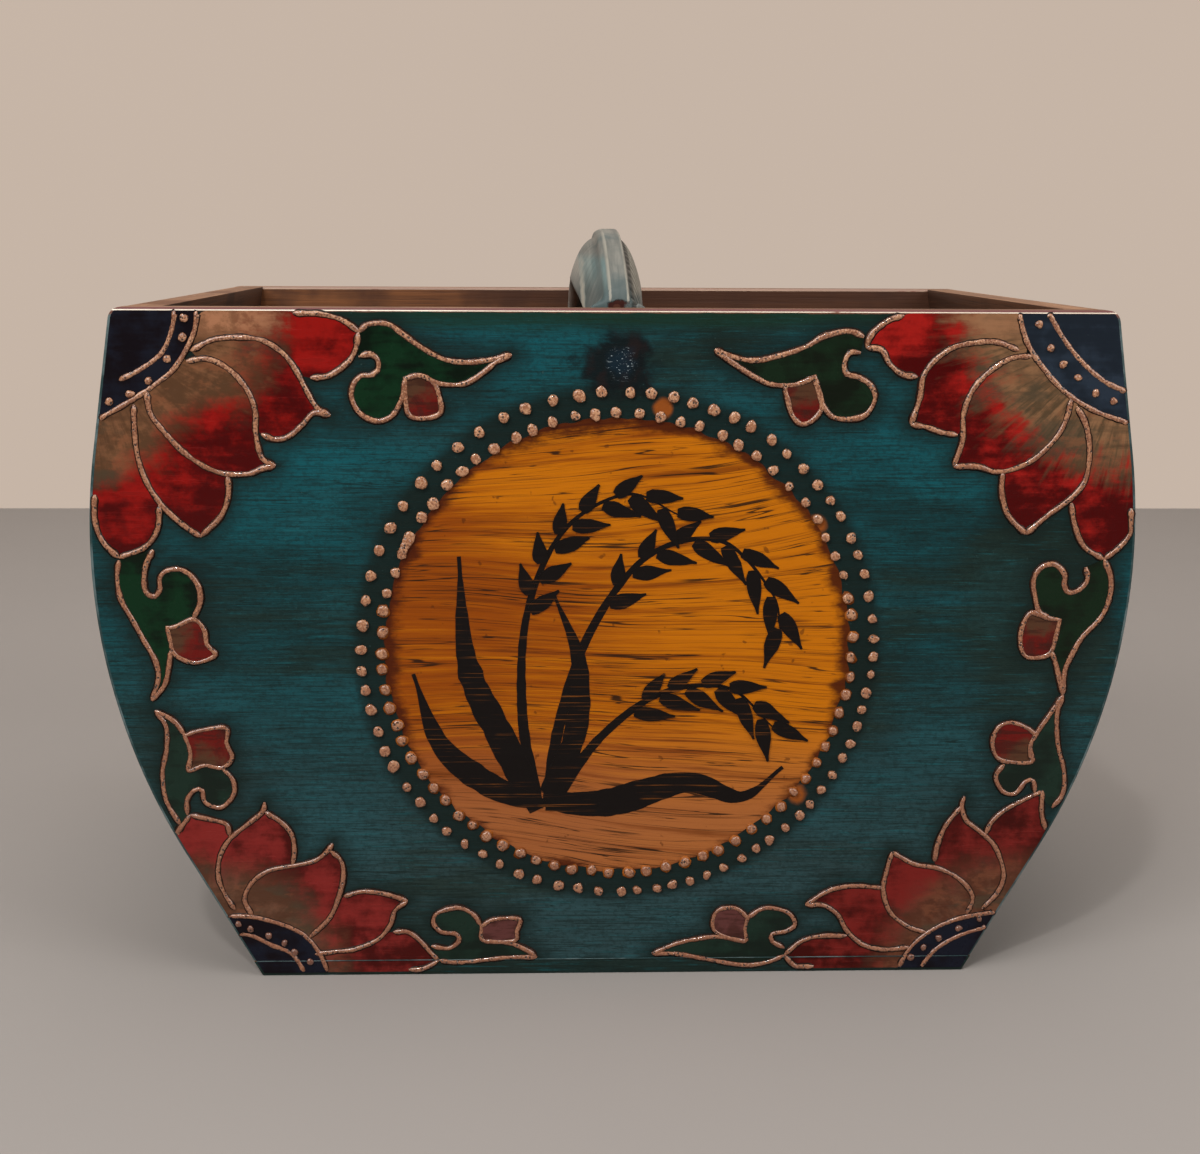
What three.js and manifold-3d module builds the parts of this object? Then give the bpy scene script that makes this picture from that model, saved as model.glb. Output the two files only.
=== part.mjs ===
// A wooden grain measure with a carved carrying handle: two flat end boards with bulging sides,
// ten side staves between them, a base board below and an arched handle from front to back.
// Millimetres, +Z up, +X to the right. The painted front faces -Y, and the origin is on the floor
// under the middle of the base.
import * as THREE from "three";
import { mergeVertices } from "three/addons/utils/BufferGeometryUtils.js";
import Module from "manifold-3d";

const wasm = await Module();
wasm.setup();

// Overall sizes
const MAX_WIDTH = 400; // across the bulge
const RIM_HEIGHT = 263; // floor to rim
const DEPTH = 275; // outside of the front board to outside of the back board

// Outline of the end boards
const BULGE_RADIUS = 246;
const BULGE_HEIGHT = 171.5; // height of the widest place
const RIM_TUCK_DEG = 8.7; // how far the straight upper edge leans in
const FOOT_TAPER_DEG = 29.3; // how far the straight lower edge leans in
const CORNER_RADIUS = 4; // of the two upper corners
const BOARD_THICKNESS = 12;
const EDGE_ROUND = 1.2; // worn arrises of the end boards
const ARC_STEPS = 24; // facets of each bulge, a multiple of CURVED_STAVES

// Side staves
const SIDE_INSET = 4; // outside of the staves, in from the outline of the end boards
const SIDE_THICKNESS = 13;
const CURVED_STAVES = 3; // between one straight rim stave and one straight foot stave
const GLUE_LINE = 0.3; // gap between pieces that touch

// Base board
const BASE_THICKNESS = 6;

// Handle
const HANDLE_RISE = 29.7; // top of the crown above the rim
const SHOULDER_RISE = 5.5; // where the crown's curve would meet the end board, above the rim
const SHOULDER_RADIUS = 8; // rounds the crown into the leg's outer face
const CROWN_THICKNESS = 26;
const CROWN_WIDTH = 30.4;
const HANDLE_OFFSET = -0.9; // the carver's handle stands a little left of the middle
const ARCH_CORNER_RADIUS = 13; // rounds the underside into the leg's inner face
const LEG_THICKNESS = 12;
const LEG_WIDTH = 24.4; // at the rim
const LEG_FOOT_WIDTH = 32;
const LEG_LENGTH = 55; // below the rim, inside the end boards
const LEG_ROUNDED_END = 12; // length of the tongue-shaped end
const BAND_WIDTH = 9.4; // the raised band along the top
const BAND_OFFSET = 0.5; // to the right of the handle's own middle
const BAND_CHAMFER = 0.8;
const BAND_FLARE = 1.8; // how much each side of the band spreads at its foot
const BAND_RAISE = 4;
const SHOULDER_FULLNESS = [3.8, 6]; // the curve's handle: in from the side, below the top
const UNDERSIDE_ROUND = 4;
const LEG_EDGE_ROUND = 1.5;

// Bamboo pins through the end boards into the ends of the staves
const PIN_DIAMETER = 4;
const PIN_LENGTH = 32;
const PIN_RECESS = 0.4; // below the painted face
const PIN_CLEARANCE = 0.25;

// Iron nails in the handle's legs and up through the base
const NAIL_DIAMETER = 2.4;
const NAIL_HEAD_DIAMETER = 5.6;
const NAIL_HEAD_THICKNESS = 1;
const NAIL_RECESS = 0.4;
const NAIL_CLEARANCE = 0.25;
const HANDLE_NAIL_LENGTH = 20;
const HANDLE_NAIL_SPREAD = 11; // across the leg
const HANDLE_NAIL_DROP = 19; // middle of the pair, below the rim
const HANDLE_NAIL_STAGGER = 9; // one nail sits lower than the other
const BASE_NAIL_LENGTH = 17;
const BASE_NAIL_PITCH = 95; // along the end boards
const BASE_SIDE_NAIL_PITCH = 130; // along the foot staves
const ROUND_SIDES = 10;

const degrees = (angle) => (angle * Math.PI) / 180;
const UPPER_ANGLE = degrees(RIM_TUCK_DEG);
const LOWER_ANGLE = -degrees(FOOT_TAPER_DEG);
const BULGE_CENTRE = MAX_WIDTH / 2 - BULGE_RADIUS;
const WALL_FOOT = BASE_THICKNESS + GLUE_LINE;
const INNER_DEPTH = DEPTH - 2 * BOARD_THICKNESS;

// Finishes
const FINISHES = {
  tealPaint: { color: 0x1b464b, roughness: 0.35 },
  bareWood: { color: 0x56331c, roughness: 0.7 },
  greyTealPaint: { color: 0x6a7570, roughness: 0.5 },
  bamboo: { color: 0xb08a55, roughness: 0.6 },
  iron: { color: 0x2a2624, roughness: 0.6, metalness: 0.8 },
};

function namedMesh(name, geometry, finish) {
  const mesh = new THREE.Mesh(geometry, new THREE.MeshStandardMaterial(FINISHES[finish]));
  mesh.name = name;
  return mesh;
}

// Solids for cutting

function solidFrom(geometry) {
  const bare = geometry.clone();
  bare.deleteAttribute("normal");
  bare.deleteAttribute("uv");
  const merged = mergeVertices(bare, 1e-4);
  return new wasm.Manifold(
    new wasm.Mesh({
      numProp: 3,
      vertProperties: new Float32Array(merged.attributes.position.array),
      triVerts: new Uint32Array(merged.index.array),
    }),
  );
}

function geometryFrom(solid) {
  const cut = solid.getMesh();
  const geometry = new THREE.BufferGeometry();
  geometry.setAttribute("position", new THREE.BufferAttribute(cut.vertProperties, 3));
  geometry.setIndex(new THREE.BufferAttribute(cut.triVerts, 1));
  geometry.computeVertexNormals();
  return geometry;
}

// Cuts the hole that a fastener carries, both standing where they belong.
function drill(mesh, fastener) {
  mesh.updateWorldMatrix(true, false);
  fastener.updateWorldMatrix(true, false);
  const hole = fastener.userData.hole.clone();
  hole.applyMatrix4(fastener.matrixWorld).applyMatrix4(mesh.matrixWorld.clone().invert());
  mesh.geometry = geometryFrom(solidFrom(mesh.geometry).subtract(solidFrom(hole)));
}

// The outline of the end boards, and everything that runs parallel to it

// Distance along the outline from its widest place, up positive.
const ARC_TOP = BULGE_RADIUS * UPPER_ANGLE;
const ARC_BOTTOM = BULGE_RADIUS * LOWER_ANGLE;

// The point at a distance along the outline, moved in by an inset.
function outlinePoint(along, inset) {
  const onArc = THREE.MathUtils.clamp(along, ARC_BOTTOM, ARC_TOP);
  const angle = onArc / BULGE_RADIUS;
  const radius = BULGE_RADIUS - inset;
  const past = along - onArc;
  return new THREE.Vector2(
    BULGE_CENTRE + radius * Math.cos(angle) - past * Math.sin(angle),
    BULGE_HEIGHT + radius * Math.sin(angle) + past * Math.cos(angle),
  );
}

// The distance along the outline where its inset copy reaches a height on a straight end.
function alongAtHeight(height, inset, angle) {
  const arcEnd = BULGE_HEIGHT + (BULGE_RADIUS - inset) * Math.sin(angle);
  return BULGE_RADIUS * angle + (height - arcEnd) / Math.cos(angle);
}

// Points up the inset outline, from one distance to another, with the arc in even steps.
function outlineRun(from, to, inset) {
  const marks = [from];
  for (let step = 0; step <= ARC_STEPS; step++) {
    const mark = THREE.MathUtils.lerp(ARC_BOTTOM, ARC_TOP, step / ARC_STEPS);
    if (mark > from + 0.01 && mark < to - 0.01) marks.push(mark);
  }
  marks.push(to);
  return marks.map((mark) => outlinePoint(mark, inset));
}

function extrudeAlongDepth(shape, length, bevel) {
  const geometry = new THREE.ExtrudeGeometry(shape, {
    depth: length - 2 * bevel,
    bevelEnabled: bevel > 0,
    bevelThickness: bevel,
    bevelSize: bevel,
    bevelOffset: -bevel,
    bevelSegments: 2,
    steps: 1,
  });
  // The profile was drawn in X and Z: it stands up, centred on its own depth.
  return geometry.translate(0, 0, bevel - length / 2).rotateX(Math.PI / 2);
}

// End boards

function roundedCorner(before, corner, after, radius) {
  const into = before.clone().sub(corner).normalize();
  const out = after.clone().sub(corner).normalize();
  const half = Math.acos(into.dot(out)) / 2;
  const reach = radius / Math.tan(half);
  const centre = corner
    .clone()
    .add(into.clone().add(out).normalize().multiplyScalar(radius / Math.sin(half)));
  const start = corner.clone().addScaledVector(into, reach).sub(centre);
  const sweep = Math.PI - 2 * half;
  return [0, 1, 2, 3].map((step) =>
    start.clone().rotateAround(new THREE.Vector2(), (sweep * step) / 3).add(centre),
  );
}

function endBoardGeometry() {
  const rim = alongAtHeight(RIM_HEIGHT, 0, UPPER_ANGLE);
  const foot = alongAtHeight(WALL_FOOT, 0, LOWER_ANGLE);
  const rightSide = outlineRun(foot, rim, 0);
  const rimCorner = rightSide.pop();
  const otherCorner = new THREE.Vector2(-rimCorner.x, rimCorner.y);
  const last = rightSide[rightSide.length - 1];
  const right = [
    ...rightSide,
    ...roundedCorner(last, rimCorner, otherCorner, CORNER_RADIUS),
  ];
  const left = right.map((point) => new THREE.Vector2(-point.x, point.y)).reverse();
  return extrudeAlongDepth(new THREE.Shape([...right, ...left]), BOARD_THICKNESS, EDGE_ROUND);
}

function endBoard(name, side) {
  const board = namedMesh(name, endBoardGeometry(), "tealPaint");
  board.position.y = (side * (DEPTH - BOARD_THICKNESS)) / 2;
  return board;
}

// Staves

const STAVE_INNER = SIDE_INSET + SIDE_THICKNESS;
const STAVE_MIDDLE = SIDE_INSET + SIDE_THICKNESS / 2;
const STAVES = CURVED_STAVES + 2;

// Where stave number k starts, counted from the foot, along the outline.
function staveStart(k) {
  return THREE.MathUtils.lerp(ARC_BOTTOM, ARC_TOP, (k - 1) / CURVED_STAVES);
}

// The end of a face of stave k: level at the foot and the rim, square to the curve between.
function staveEnds(k, inset) {
  const start =
    k === 0 ? alongAtHeight(WALL_FOOT, inset, LOWER_ANGLE) : staveStart(k) + GLUE_LINE / 2;
  const end =
    k === STAVES - 1
      ? alongAtHeight(RIM_HEIGHT, inset, UPPER_ANGLE)
      : staveStart(k + 1) - GLUE_LINE / 2;
  return [start, end];
}

function stave(name, k) {
  const outer = outlineRun(...staveEnds(k, SIDE_INSET), SIDE_INSET);
  const inner = outlineRun(...staveEnds(k, STAVE_INNER), STAVE_INNER);
  const profile = new THREE.Shape([...outer, ...inner.reverse()]);
  const length = INNER_DEPTH - 2 * GLUE_LINE;
  return namedMesh(name, extrudeAlongDepth(profile, length, 0), "tealPaint");
}

// The middle of stave k, seen end on.
function staveMiddle(k) {
  const [start, end] = staveEnds(k, STAVE_MIDDLE);
  return outlinePoint((start + end) / 2, STAVE_MIDDLE);
}

// Base board

function baseBoard() {
  const low = outlinePoint(alongAtHeight(0, 0, LOWER_ANGLE), 0);
  const high = outlinePoint(alongAtHeight(BASE_THICKNESS, 0, LOWER_ANGLE), 0);
  const profile = new THREE.Shape([
    low,
    high,
    new THREE.Vector2(-high.x, high.y),
    new THREE.Vector2(-low.x, low.y),
  ]);
  return namedMesh("base_board", extrudeAlongDepth(profile, DEPTH, 0), "tealPaint");
}

// Handle: rings of points lofted from the end of one leg, over the crown, to the other end

const LEG_OUTER = INNER_DEPTH / 2 - GLUE_LINE;
const LEG_INNER = LEG_OUTER - LEG_THICKNESS;
const LEG_FOOT = RIM_HEIGHT - LEG_LENGTH;
const CROWN_SAG = HANDLE_RISE - SHOULDER_RISE;
const CROWN_RADIUS = (LEG_OUTER ** 2 + CROWN_SAG ** 2) / (2 * CROWN_SAG);
const CROWN_CENTRE = RIM_HEIGHT + HANDLE_RISE - CROWN_RADIUS;

// Stations along each half of the handle
const LEG_STEPS = 8;
const CORNER_STEPS = 6;
const CROWN_STEPS = 14;

// Half of the handle seen from the side, from the end of the leg to the middle of the crown:
// up the face of the leg, round a corner and along an arc. Points are [depth, height].
function sideLine(face, crownRadius, cornerRadius) {
  const cornerDepth = face - cornerRadius;
  const cornerHeight =
    CROWN_CENTRE + Math.sqrt((crownRadius - cornerRadius) ** 2 - cornerDepth ** 2);
  const turn = Math.atan2(cornerHeight - CROWN_CENTRE, cornerDepth);
  const line = new THREE.Path();
  line.moveTo(face, LEG_FOOT);
  line.lineTo(face, cornerHeight);
  line.absarc(cornerDepth, cornerHeight, cornerRadius, 0, turn, false);
  line.absarc(0, CROWN_CENTRE, crownRadius, turn, Math.PI / 2, false);
  const [leg, corner, crown] = line.curves.filter((curve) => curve.getLength() > 1e-6);
  return [
    ...leg.getPoints(LEG_STEPS).slice(0, -1),
    ...corner.getPoints(CORNER_STEPS).slice(0, -1),
    ...crown.getPoints(CROWN_STEPS),
  ];
}

// The width of the leg at a share of its length, from its rounded end up to the rim.
function legWidth(share) {
  const spread = THREE.MathUtils.lerp(LEG_FOOT_WIDTH, LEG_WIDTH, share);
  const intoEnd = Math.max(0, 1 - (share * LEG_LENGTH) / LEG_ROUNDED_END);
  const roundness = 0.8; // 1 would draw the end to an edge
  return spread * Math.sqrt(1 - roundness * intoEnd ** 2);
}

// The width, and how far the carved top has formed, at a station counted from the leg's end.
function sectionAt(station) {
  const corner = THREE.MathUtils.smoothstep(station, LEG_STEPS, LEG_STEPS + CORNER_STEPS);
  const last = LEG_STEPS + CORNER_STEPS + CROWN_STEPS;
  const swell = THREE.MathUtils.smoothstep(station, LEG_STEPS, last);
  const leg = legWidth(Math.min(1, station / LEG_STEPS));
  return {
    width: THREE.MathUtils.lerp(leg, CROWN_WIDTH, swell),
    carved: corner,
  };
}

// One side of the section as [distance from the middle, depth below the outer line], from the
// edge of the band down over the shoulder to the underside.
function sectionSide(side, width, thickness, carved) {
  const half = width / 2;
  const bandEdge = BAND_WIDTH / 2 + side * BAND_OFFSET;
  const bandFoot = bandEdge + BAND_FLARE;
  const [inFromSide, belowTop] = SHOULDER_FULLNESS;
  const roundStart = THREE.MathUtils.lerp(LEG_EDGE_ROUND, thickness - UNDERSIDE_ROUND, carved);
  const shoulder = new THREE.QuadraticBezierCurve(
    new THREE.Vector2(bandFoot, BAND_RAISE * carved),
    new THREE.Vector2(half - inFromSide * carved, belowTop * carved),
    new THREE.Vector2(half, roundStart),
  );
  const underRound = THREE.MathUtils.lerp(LEG_EDGE_ROUND, UNDERSIDE_ROUND, carved);
  const points = [
    new THREE.Vector2(bandEdge - BAND_CHAMFER, 0),
    new THREE.Vector2(bandEdge, BAND_CHAMFER * carved),
    ...shoulder.getPoints(5),
    new THREE.Vector2(half, thickness - underRound),
    new THREE.Vector2(half - underRound * 0.3, thickness - underRound * 0.3),
    new THREE.Vector2(half - underRound, thickness),
  ];
  return points.map((point) => new THREE.Vector2(side * point.x, point.y));
}

function handleRing(outer, inner, station, end) {
  const inward = inner.clone().sub(outer);
  const thickness = inward.length();
  inward.normalize();
  const { width, carved } = sectionAt(station);
  const section = [
    ...sectionSide(1, width, thickness, carved),
    ...sectionSide(-1, width, thickness, carved).reverse(),
  ];
  return section.map(({ x, y: below }) => {
    const { x: depth, y: height } = outer.clone().addScaledVector(inward, below);
    return new THREE.Vector3(x, end * depth, height);
  });
}

function handleRings() {
  const outer = sideLine(LEG_OUTER, CROWN_RADIUS, SHOULDER_RADIUS);
  const inner = sideLine(LEG_INNER, CROWN_RADIUS - CROWN_THICKNESS, ARCH_CORNER_RADIUS);
  const half = (end) => outer.map((point, k) => handleRing(point, inner[k], k, end));
  const back = half(1).slice(0, -1);
  return [...half(-1), ...back.reverse()];
}

// One closed skin over rings that all have the same number of points.
function loft(rings) {
  const count = rings[0].length;
  const positions = rings.flat().flatMap((point) => point.toArray());
  const index = [];
  for (let ring = 0; ring + 1 < rings.length; ring++) {
    for (let k = 0; k < count; k++) {
      const a = ring * count + k;
      const b = ring * count + ((k + 1) % count);
      index.push(a, b, a + count, b, b + count, a + count);
    }
  }
  const lastRing = (rings.length - 1) * count;
  for (let k = 1; k + 1 < count; k++) {
    index.push(0, k + 1, k);
    index.push(lastRing, lastRing + k, lastRing + k + 1);
  }
  const geometry = new THREE.BufferGeometry();
  geometry.setAttribute("position", new THREE.Float32BufferAttribute(positions, 3));
  geometry.setIndex(index);
  geometry.computeVertexNormals();
  return geometry;
}

function carvedHandle() {
  return namedMesh("handle", loft(handleRings()), "greyTealPaint");
}

// Fasteners: each lies along its own +Y from the outer end, and carries the hole that it needs

function cylinderAlongY(radius, from, to) {
  const cylinder = new THREE.CylinderGeometry(radius, radius, to - from, ROUND_SIDES);
  return cylinder.translate(0, (from + to) / 2, 0);
}

function bambooPin(name) {
  const radius = PIN_DIAMETER / 2;
  const pin = namedMesh(name, cylinderAlongY(radius, PIN_RECESS, PIN_LENGTH), "bamboo");
  pin.userData.hole = cylinderAlongY(radius + PIN_CLEARANCE, -1, PIN_LENGTH + PIN_CLEARANCE);
  return pin;
}

// A turned outline for a nail or its hole: [radius, distance along +Y] pairs from tip to head.
function turned(outline) {
  const points = outline.map(([radius, along]) => new THREE.Vector2(radius, along));
  return new THREE.LatheGeometry(points, ROUND_SIDES);
}

function ironNail(name, length) {
  const shank = NAIL_DIAMETER / 2;
  const head = NAIL_HEAD_DIAMETER / 2;
  const underHead = NAIL_RECESS + NAIL_HEAD_THICKNESS;
  const tip = length - NAIL_DIAMETER;
  const profile = [
    [0, NAIL_RECESS],
    [head, NAIL_RECESS],
    [head, underHead],
    [shank, underHead],
    [shank, tip],
    [0, length],
  ];
  const nail = namedMesh(name, turned(profile), "iron");
  const gap = NAIL_CLEARANCE;
  nail.userData.hole = turned([
    [0, -1],
    [head + gap, -1],
    [head + gap, underHead + gap],
    [shank + gap, underHead + gap],
    [shank + gap, length + gap],
    [0, length + gap],
  ]);
  return nail;
}

// Assembly

const measure = new THREE.Group();
const ENDS = [
  { name: "front", facing: -1 },
  { name: "back", facing: 1 },
];
const SIDES = [
  { name: "left", facing: -1 },
  { name: "right", facing: 1 },
];

// Adds a fastener and cuts its hole in each piece that it passes into.
function fasten(fastener, ...pieces) {
  measure.add(fastener);
  for (const piece of pieces) drill(piece, fastener);
}

// Stands a fastener at the outside of an end board, pointing inwards.
function standAtEnd(fastener, end, x, z) {
  fastener.position.set(x, (end.facing * DEPTH) / 2, z);
  fastener.rotation.z = end.facing < 0 ? 0 : Math.PI;
}

const handle = carvedHandle();
handle.position.x = HANDLE_OFFSET;
const base = baseBoard();
measure.add(handle, base);

const endBoards = new Map();
for (const end of ENDS) {
  const board = endBoard(`${end.name}_board`, end.facing);
  endBoards.set(end, board);
  measure.add(board);
}

// The staves of the left side are those of the right side, turned half round.
const footStaves = new Map();
for (const side of SIDES) {
  for (let k = 0; k < STAVES; k++) {
    const board = stave(`${side.name}_stave_${k + 1}`, k);
    board.rotation.z = side.facing > 0 ? 0 : Math.PI;
    measure.add(board);
    if (k === 0) footStaves.set(side, board);
    const middle = staveMiddle(k);
    for (const end of ENDS) {
      const pin = bambooPin(`${board.name}_${end.name}_pin`);
      standAtEnd(pin, end, side.facing * middle.x, middle.y);
      fasten(pin, endBoards.get(end), board);
    }
  }
}

// Two staggered nails through each end board into the handle's leg
for (const end of ENDS) {
  for (const [label, step] of [["upper", 1], ["lower", -1]]) {
    const nail = ironNail(`handle_${end.name}_nail_${label}`, HANDLE_NAIL_LENGTH);
    const x = HANDLE_OFFSET - (step * HANDLE_NAIL_SPREAD) / 2;
    const z = RIM_HEIGHT - HANDLE_NAIL_DROP + (step * HANDLE_NAIL_STAGGER) / 2;
    standAtEnd(nail, end, x, z);
    fasten(nail, endBoards.get(end), handle);
  }
}

// Nails up through the base
function baseNail(name, x, y, piece) {
  const nail = ironNail(name, BASE_NAIL_LENGTH);
  nail.position.set(x, y, 0);
  nail.rotation.x = Math.PI / 2;
  fasten(nail, base, piece);
}

for (const end of ENDS) {
  const y = (end.facing * (DEPTH - BOARD_THICKNESS)) / 2;
  [-1, 0, 1].forEach((place, k) => {
    baseNail(`base_${end.name}_nail_${k + 1}`, place * BASE_NAIL_PITCH, y, endBoards.get(end));
  });
}

// The foot staves lean out, so their nails stand under the middle of what they reach into.
const reach = (BASE_NAIL_LENGTH - BASE_THICKNESS) / 2;
const footMiddle = outlinePoint(
  alongAtHeight(BASE_THICKNESS + reach, STAVE_MIDDLE, LOWER_ANGLE),
  STAVE_MIDDLE,
);
for (const side of SIDES) {
  [-0.5, 0.5].forEach((place, k) => {
    const y = place * BASE_SIDE_NAIL_PITCH;
    const name = `base_${side.name}_nail_${k + 1}`;
    baseNail(name, side.facing * footMiddle.x, y, footStaves.get(side));
  });
}

export default measure;
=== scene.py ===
"""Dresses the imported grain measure: painted boards and staves, a carved handle, and raised-line flowers.

Lengths in the maker's drawings are millimetres; every mesh is in metres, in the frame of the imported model.
"""

import logging
import math
import random
from dataclasses import dataclass, field
from enum import Enum
from typing import Callable, Iterable, Sequence

import bmesh
import bpy
from mathutils import Matrix, Vector, kdtree, noise


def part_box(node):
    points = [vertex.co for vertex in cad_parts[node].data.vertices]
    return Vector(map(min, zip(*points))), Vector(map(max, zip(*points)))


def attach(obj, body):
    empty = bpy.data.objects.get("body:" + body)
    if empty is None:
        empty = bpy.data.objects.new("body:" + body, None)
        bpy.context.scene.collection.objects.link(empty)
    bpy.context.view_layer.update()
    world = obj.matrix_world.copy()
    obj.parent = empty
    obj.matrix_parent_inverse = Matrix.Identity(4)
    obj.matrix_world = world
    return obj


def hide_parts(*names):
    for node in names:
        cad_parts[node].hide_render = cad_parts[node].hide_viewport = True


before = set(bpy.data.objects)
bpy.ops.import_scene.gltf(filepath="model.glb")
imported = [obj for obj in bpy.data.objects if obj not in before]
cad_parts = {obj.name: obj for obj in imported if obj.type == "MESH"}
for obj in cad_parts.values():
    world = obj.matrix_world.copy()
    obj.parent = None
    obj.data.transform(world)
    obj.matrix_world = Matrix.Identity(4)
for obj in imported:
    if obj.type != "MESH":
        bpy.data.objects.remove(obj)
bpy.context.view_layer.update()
LOG = logging.getLogger("grain_measure")
MM = 0.001

SHARP = 40.0  # degrees past which an edge stays crisp
STAVES = 5
STAVE_GAP = 0.3
PIN_INSET = 10.5

Flat = tuple[float, float]
Colour = tuple[float, float, float]
Patch = tuple[float, float, float, float]  # x and height in millimetres, radius, gain
Stretch = float | tuple[float, float, float]
Material = bpy.types.Material
Piece = bpy.types.Object
Socket = bpy.types.NodeSocket
Feed = Socket | float | Colour


# Bench work: small helpers around Blender's own tools


def clear_bench() -> None:
    """Leaves edit mode and deselects every object."""
    if bpy.context.object and bpy.context.object.mode != "OBJECT":
        bpy.ops.object.mode_set(mode="OBJECT")
    bpy.ops.object.select_all(action="DESELECT")


def pick(piece: Piece) -> Piece:
    """Makes one object the only selected and the active one.

    Args:
        piece: the object.

    Returns:
        The same object.
    """
    clear_bench()
    piece.select_set(True)
    bpy.context.view_layer.objects.active = piece
    return piece


def fresh(name: str) -> Piece:
    """Names the primitive that was just added, and puts its place into its mesh.

    Args:
        name: the piece's name.

    Returns:
        The piece.
    """
    piece = bpy.context.object
    piece.name = name
    piece.data.name = name
    bpy.ops.object.transform_apply(location=True, rotation=True, scale=True)
    return piece


class Carving:
    """Edit mode on one piece, as a with block, with faces and vertices picked in code."""

    def __init__(self, piece: Piece) -> None:
        """Takes the piece."""
        self.piece = piece

    def __enter__(self) -> "Carving":
        """Goes into edit mode.

        Returns:
            The carving.
        """
        pick(self.piece)
        bpy.ops.object.mode_set(mode="EDIT")
        return self

    def __exit__(self, *_: object) -> None:
        """Comes back out of it."""
        bpy.ops.object.mode_set(mode="OBJECT")

    def mesh(self) -> bmesh.types.BMesh:
        """The mesh being edited."""
        return bmesh.from_edit_mesh(self.piece.data)

    def faces(self, wanted: Callable[[bmesh.types.BMFace], bool]) -> None:
        """Selects only the faces that the test accepts.

        Args:
            wanted: the test.
        """
        bpy.ops.mesh.select_mode(type="FACE")
        bpy.ops.mesh.select_all(action="DESELECT")
        mesh = self.mesh()
        mesh.normal_update()
        for face in mesh.faces:
            face.select_set(wanted(face))
        bmesh.update_edit_mesh(self.piece.data)

    def outward(self) -> None:
        """Merges doubles and turns every face of a closed shell outwards."""
        bpy.ops.mesh.select_all(action="SELECT")
        bpy.ops.mesh.remove_doubles(threshold=1e-6)
        bpy.ops.mesh.normals_make_consistent(inside=False)


def spot(point: Vector) -> tuple[int, int, int]:
    """A key for a place, to a hundredth of a millimetre."""
    return tuple(round(c * 1e5) for c in point)


def laid_ring(name: str, loop: Sequence[Vector]) -> Piece:
    """Adds a filled circle and lays its points on a loop.

    Args:
        name: the piece's name.
        loop: the places of its points.

    Returns:
        The piece, one face.
    """
    clear_bench()
    bpy.ops.mesh.primitive_circle_add(vertices=len(loop), radius=1.0, fill_type="NGON")
    piece = fresh(name)
    for vert, point in zip(piece.data.vertices, loop):
        vert.co = point
    return piece


def draw_out(name: str, rows: Sequence[Sequence[Vector]]) -> Piece:
    """Extrudes a closed ring of points row by row, as a bar is drawn out.

    Args:
        name: the piece's name.
        rows: the rings, each with as many points as the first.

    Returns:
        The piece, filled at both ends.
    """
    piece = laid_ring(name, rows[0])
    with Carving(piece) as work:
        bpy.ops.mesh.select_all(action="SELECT")
        bpy.ops.mesh.select_mode(type="FACE")
        for before, after in zip(rows, rows[1:]):
            bpy.ops.mesh.extrude_region_move()
            moves = {spot(old): new for old, new in zip(before, after)}
            for vert in work.mesh().verts:
                if vert.select:
                    vert.co = moves[spot(vert.co)]
            bmesh.update_edit_mesh(piece.data)
        work.outward()
    return piece


def cut_sheet(name: str, loop: Sequence[Vector], away: Vector) -> Piece:
    """Cuts a flat shape out and gives it a thickness.

    Args:
        name: the piece's name.
        loop: the outline.
        away: the move from the outline to the other face.

    Returns:
        The piece.
    """
    piece = laid_ring(name, loop)
    with Carving(piece) as work:
        bpy.ops.mesh.select_all(action="SELECT")
        bpy.ops.mesh.extrude_region_move(TRANSFORM_OT_translate={"value": tuple(away)})
        work.outward()
    return piece


def apply_modifier(piece: Piece, kind: str, **settings: object) -> None:
    """Adds a modifier with its settings and applies it.

    Args:
        piece: what it works on.
        kind: Blender's name for it.
        settings: its settings.
    """
    pick(piece)
    modifier = piece.modifiers.new(kind.lower(), kind)
    for key, value in settings.items():
        setattr(modifier, key, value)
    bpy.ops.object.modifier_apply(modifier=modifier.name)


def soften(piece: Piece, width: float) -> None:
    """Rounds the sharp edges, by a width in millimetres."""
    apply_modifier(
        piece, "BEVEL", width=width * MM, segments=2, limit_method="ANGLE", angle_limit=math.radians(SHARP))


def joined(name: str, parts: Sequence[Piece]) -> Piece:
    """Joins parts into the first one and names it.

    Args:
        name: the name of the whole.
        parts: the parts, of which the first stays.

    Returns:
        The whole.
    """
    pick(parts[0])
    for part in parts:
        part.select_set(True)
    bpy.ops.object.join()
    parts[0].name = name
    parts[0].data.name = name
    return parts[0]


def shade(piece: Piece, angle: float | None = None) -> None:
    """Shades smooth, all over or by angle in degrees.

    Args:
        piece: the piece.
        angle: past which an edge stays sharp, or None to shade all over.
    """
    pick(piece)
    if angle is None:
        bpy.ops.object.shade_smooth()
    else:
        bpy.ops.object.shade_smooth_by_angle(angle=math.radians(angle))


def dress(piece: Piece, *finishes: Material) -> None:
    """Gives a piece its finishes, one material slot for each."""
    for finish in finishes:
        piece.data.materials.append(finish)


def fit(piece: Piece, slot: str, *nodes: str) -> None:
    """Sets a finished piece in place: it rides on the one body and stands for nodes, which are hidden.

    Args:
        piece: the finished piece.
        slot: the kind of its finish; not used.
        nodes: the nodes it stands for.
    """
    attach(piece, "root")
    if nodes:
        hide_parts(*nodes)
    LOG.info("%s: %d faces", piece.name, len(piece.data.polygons))


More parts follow.
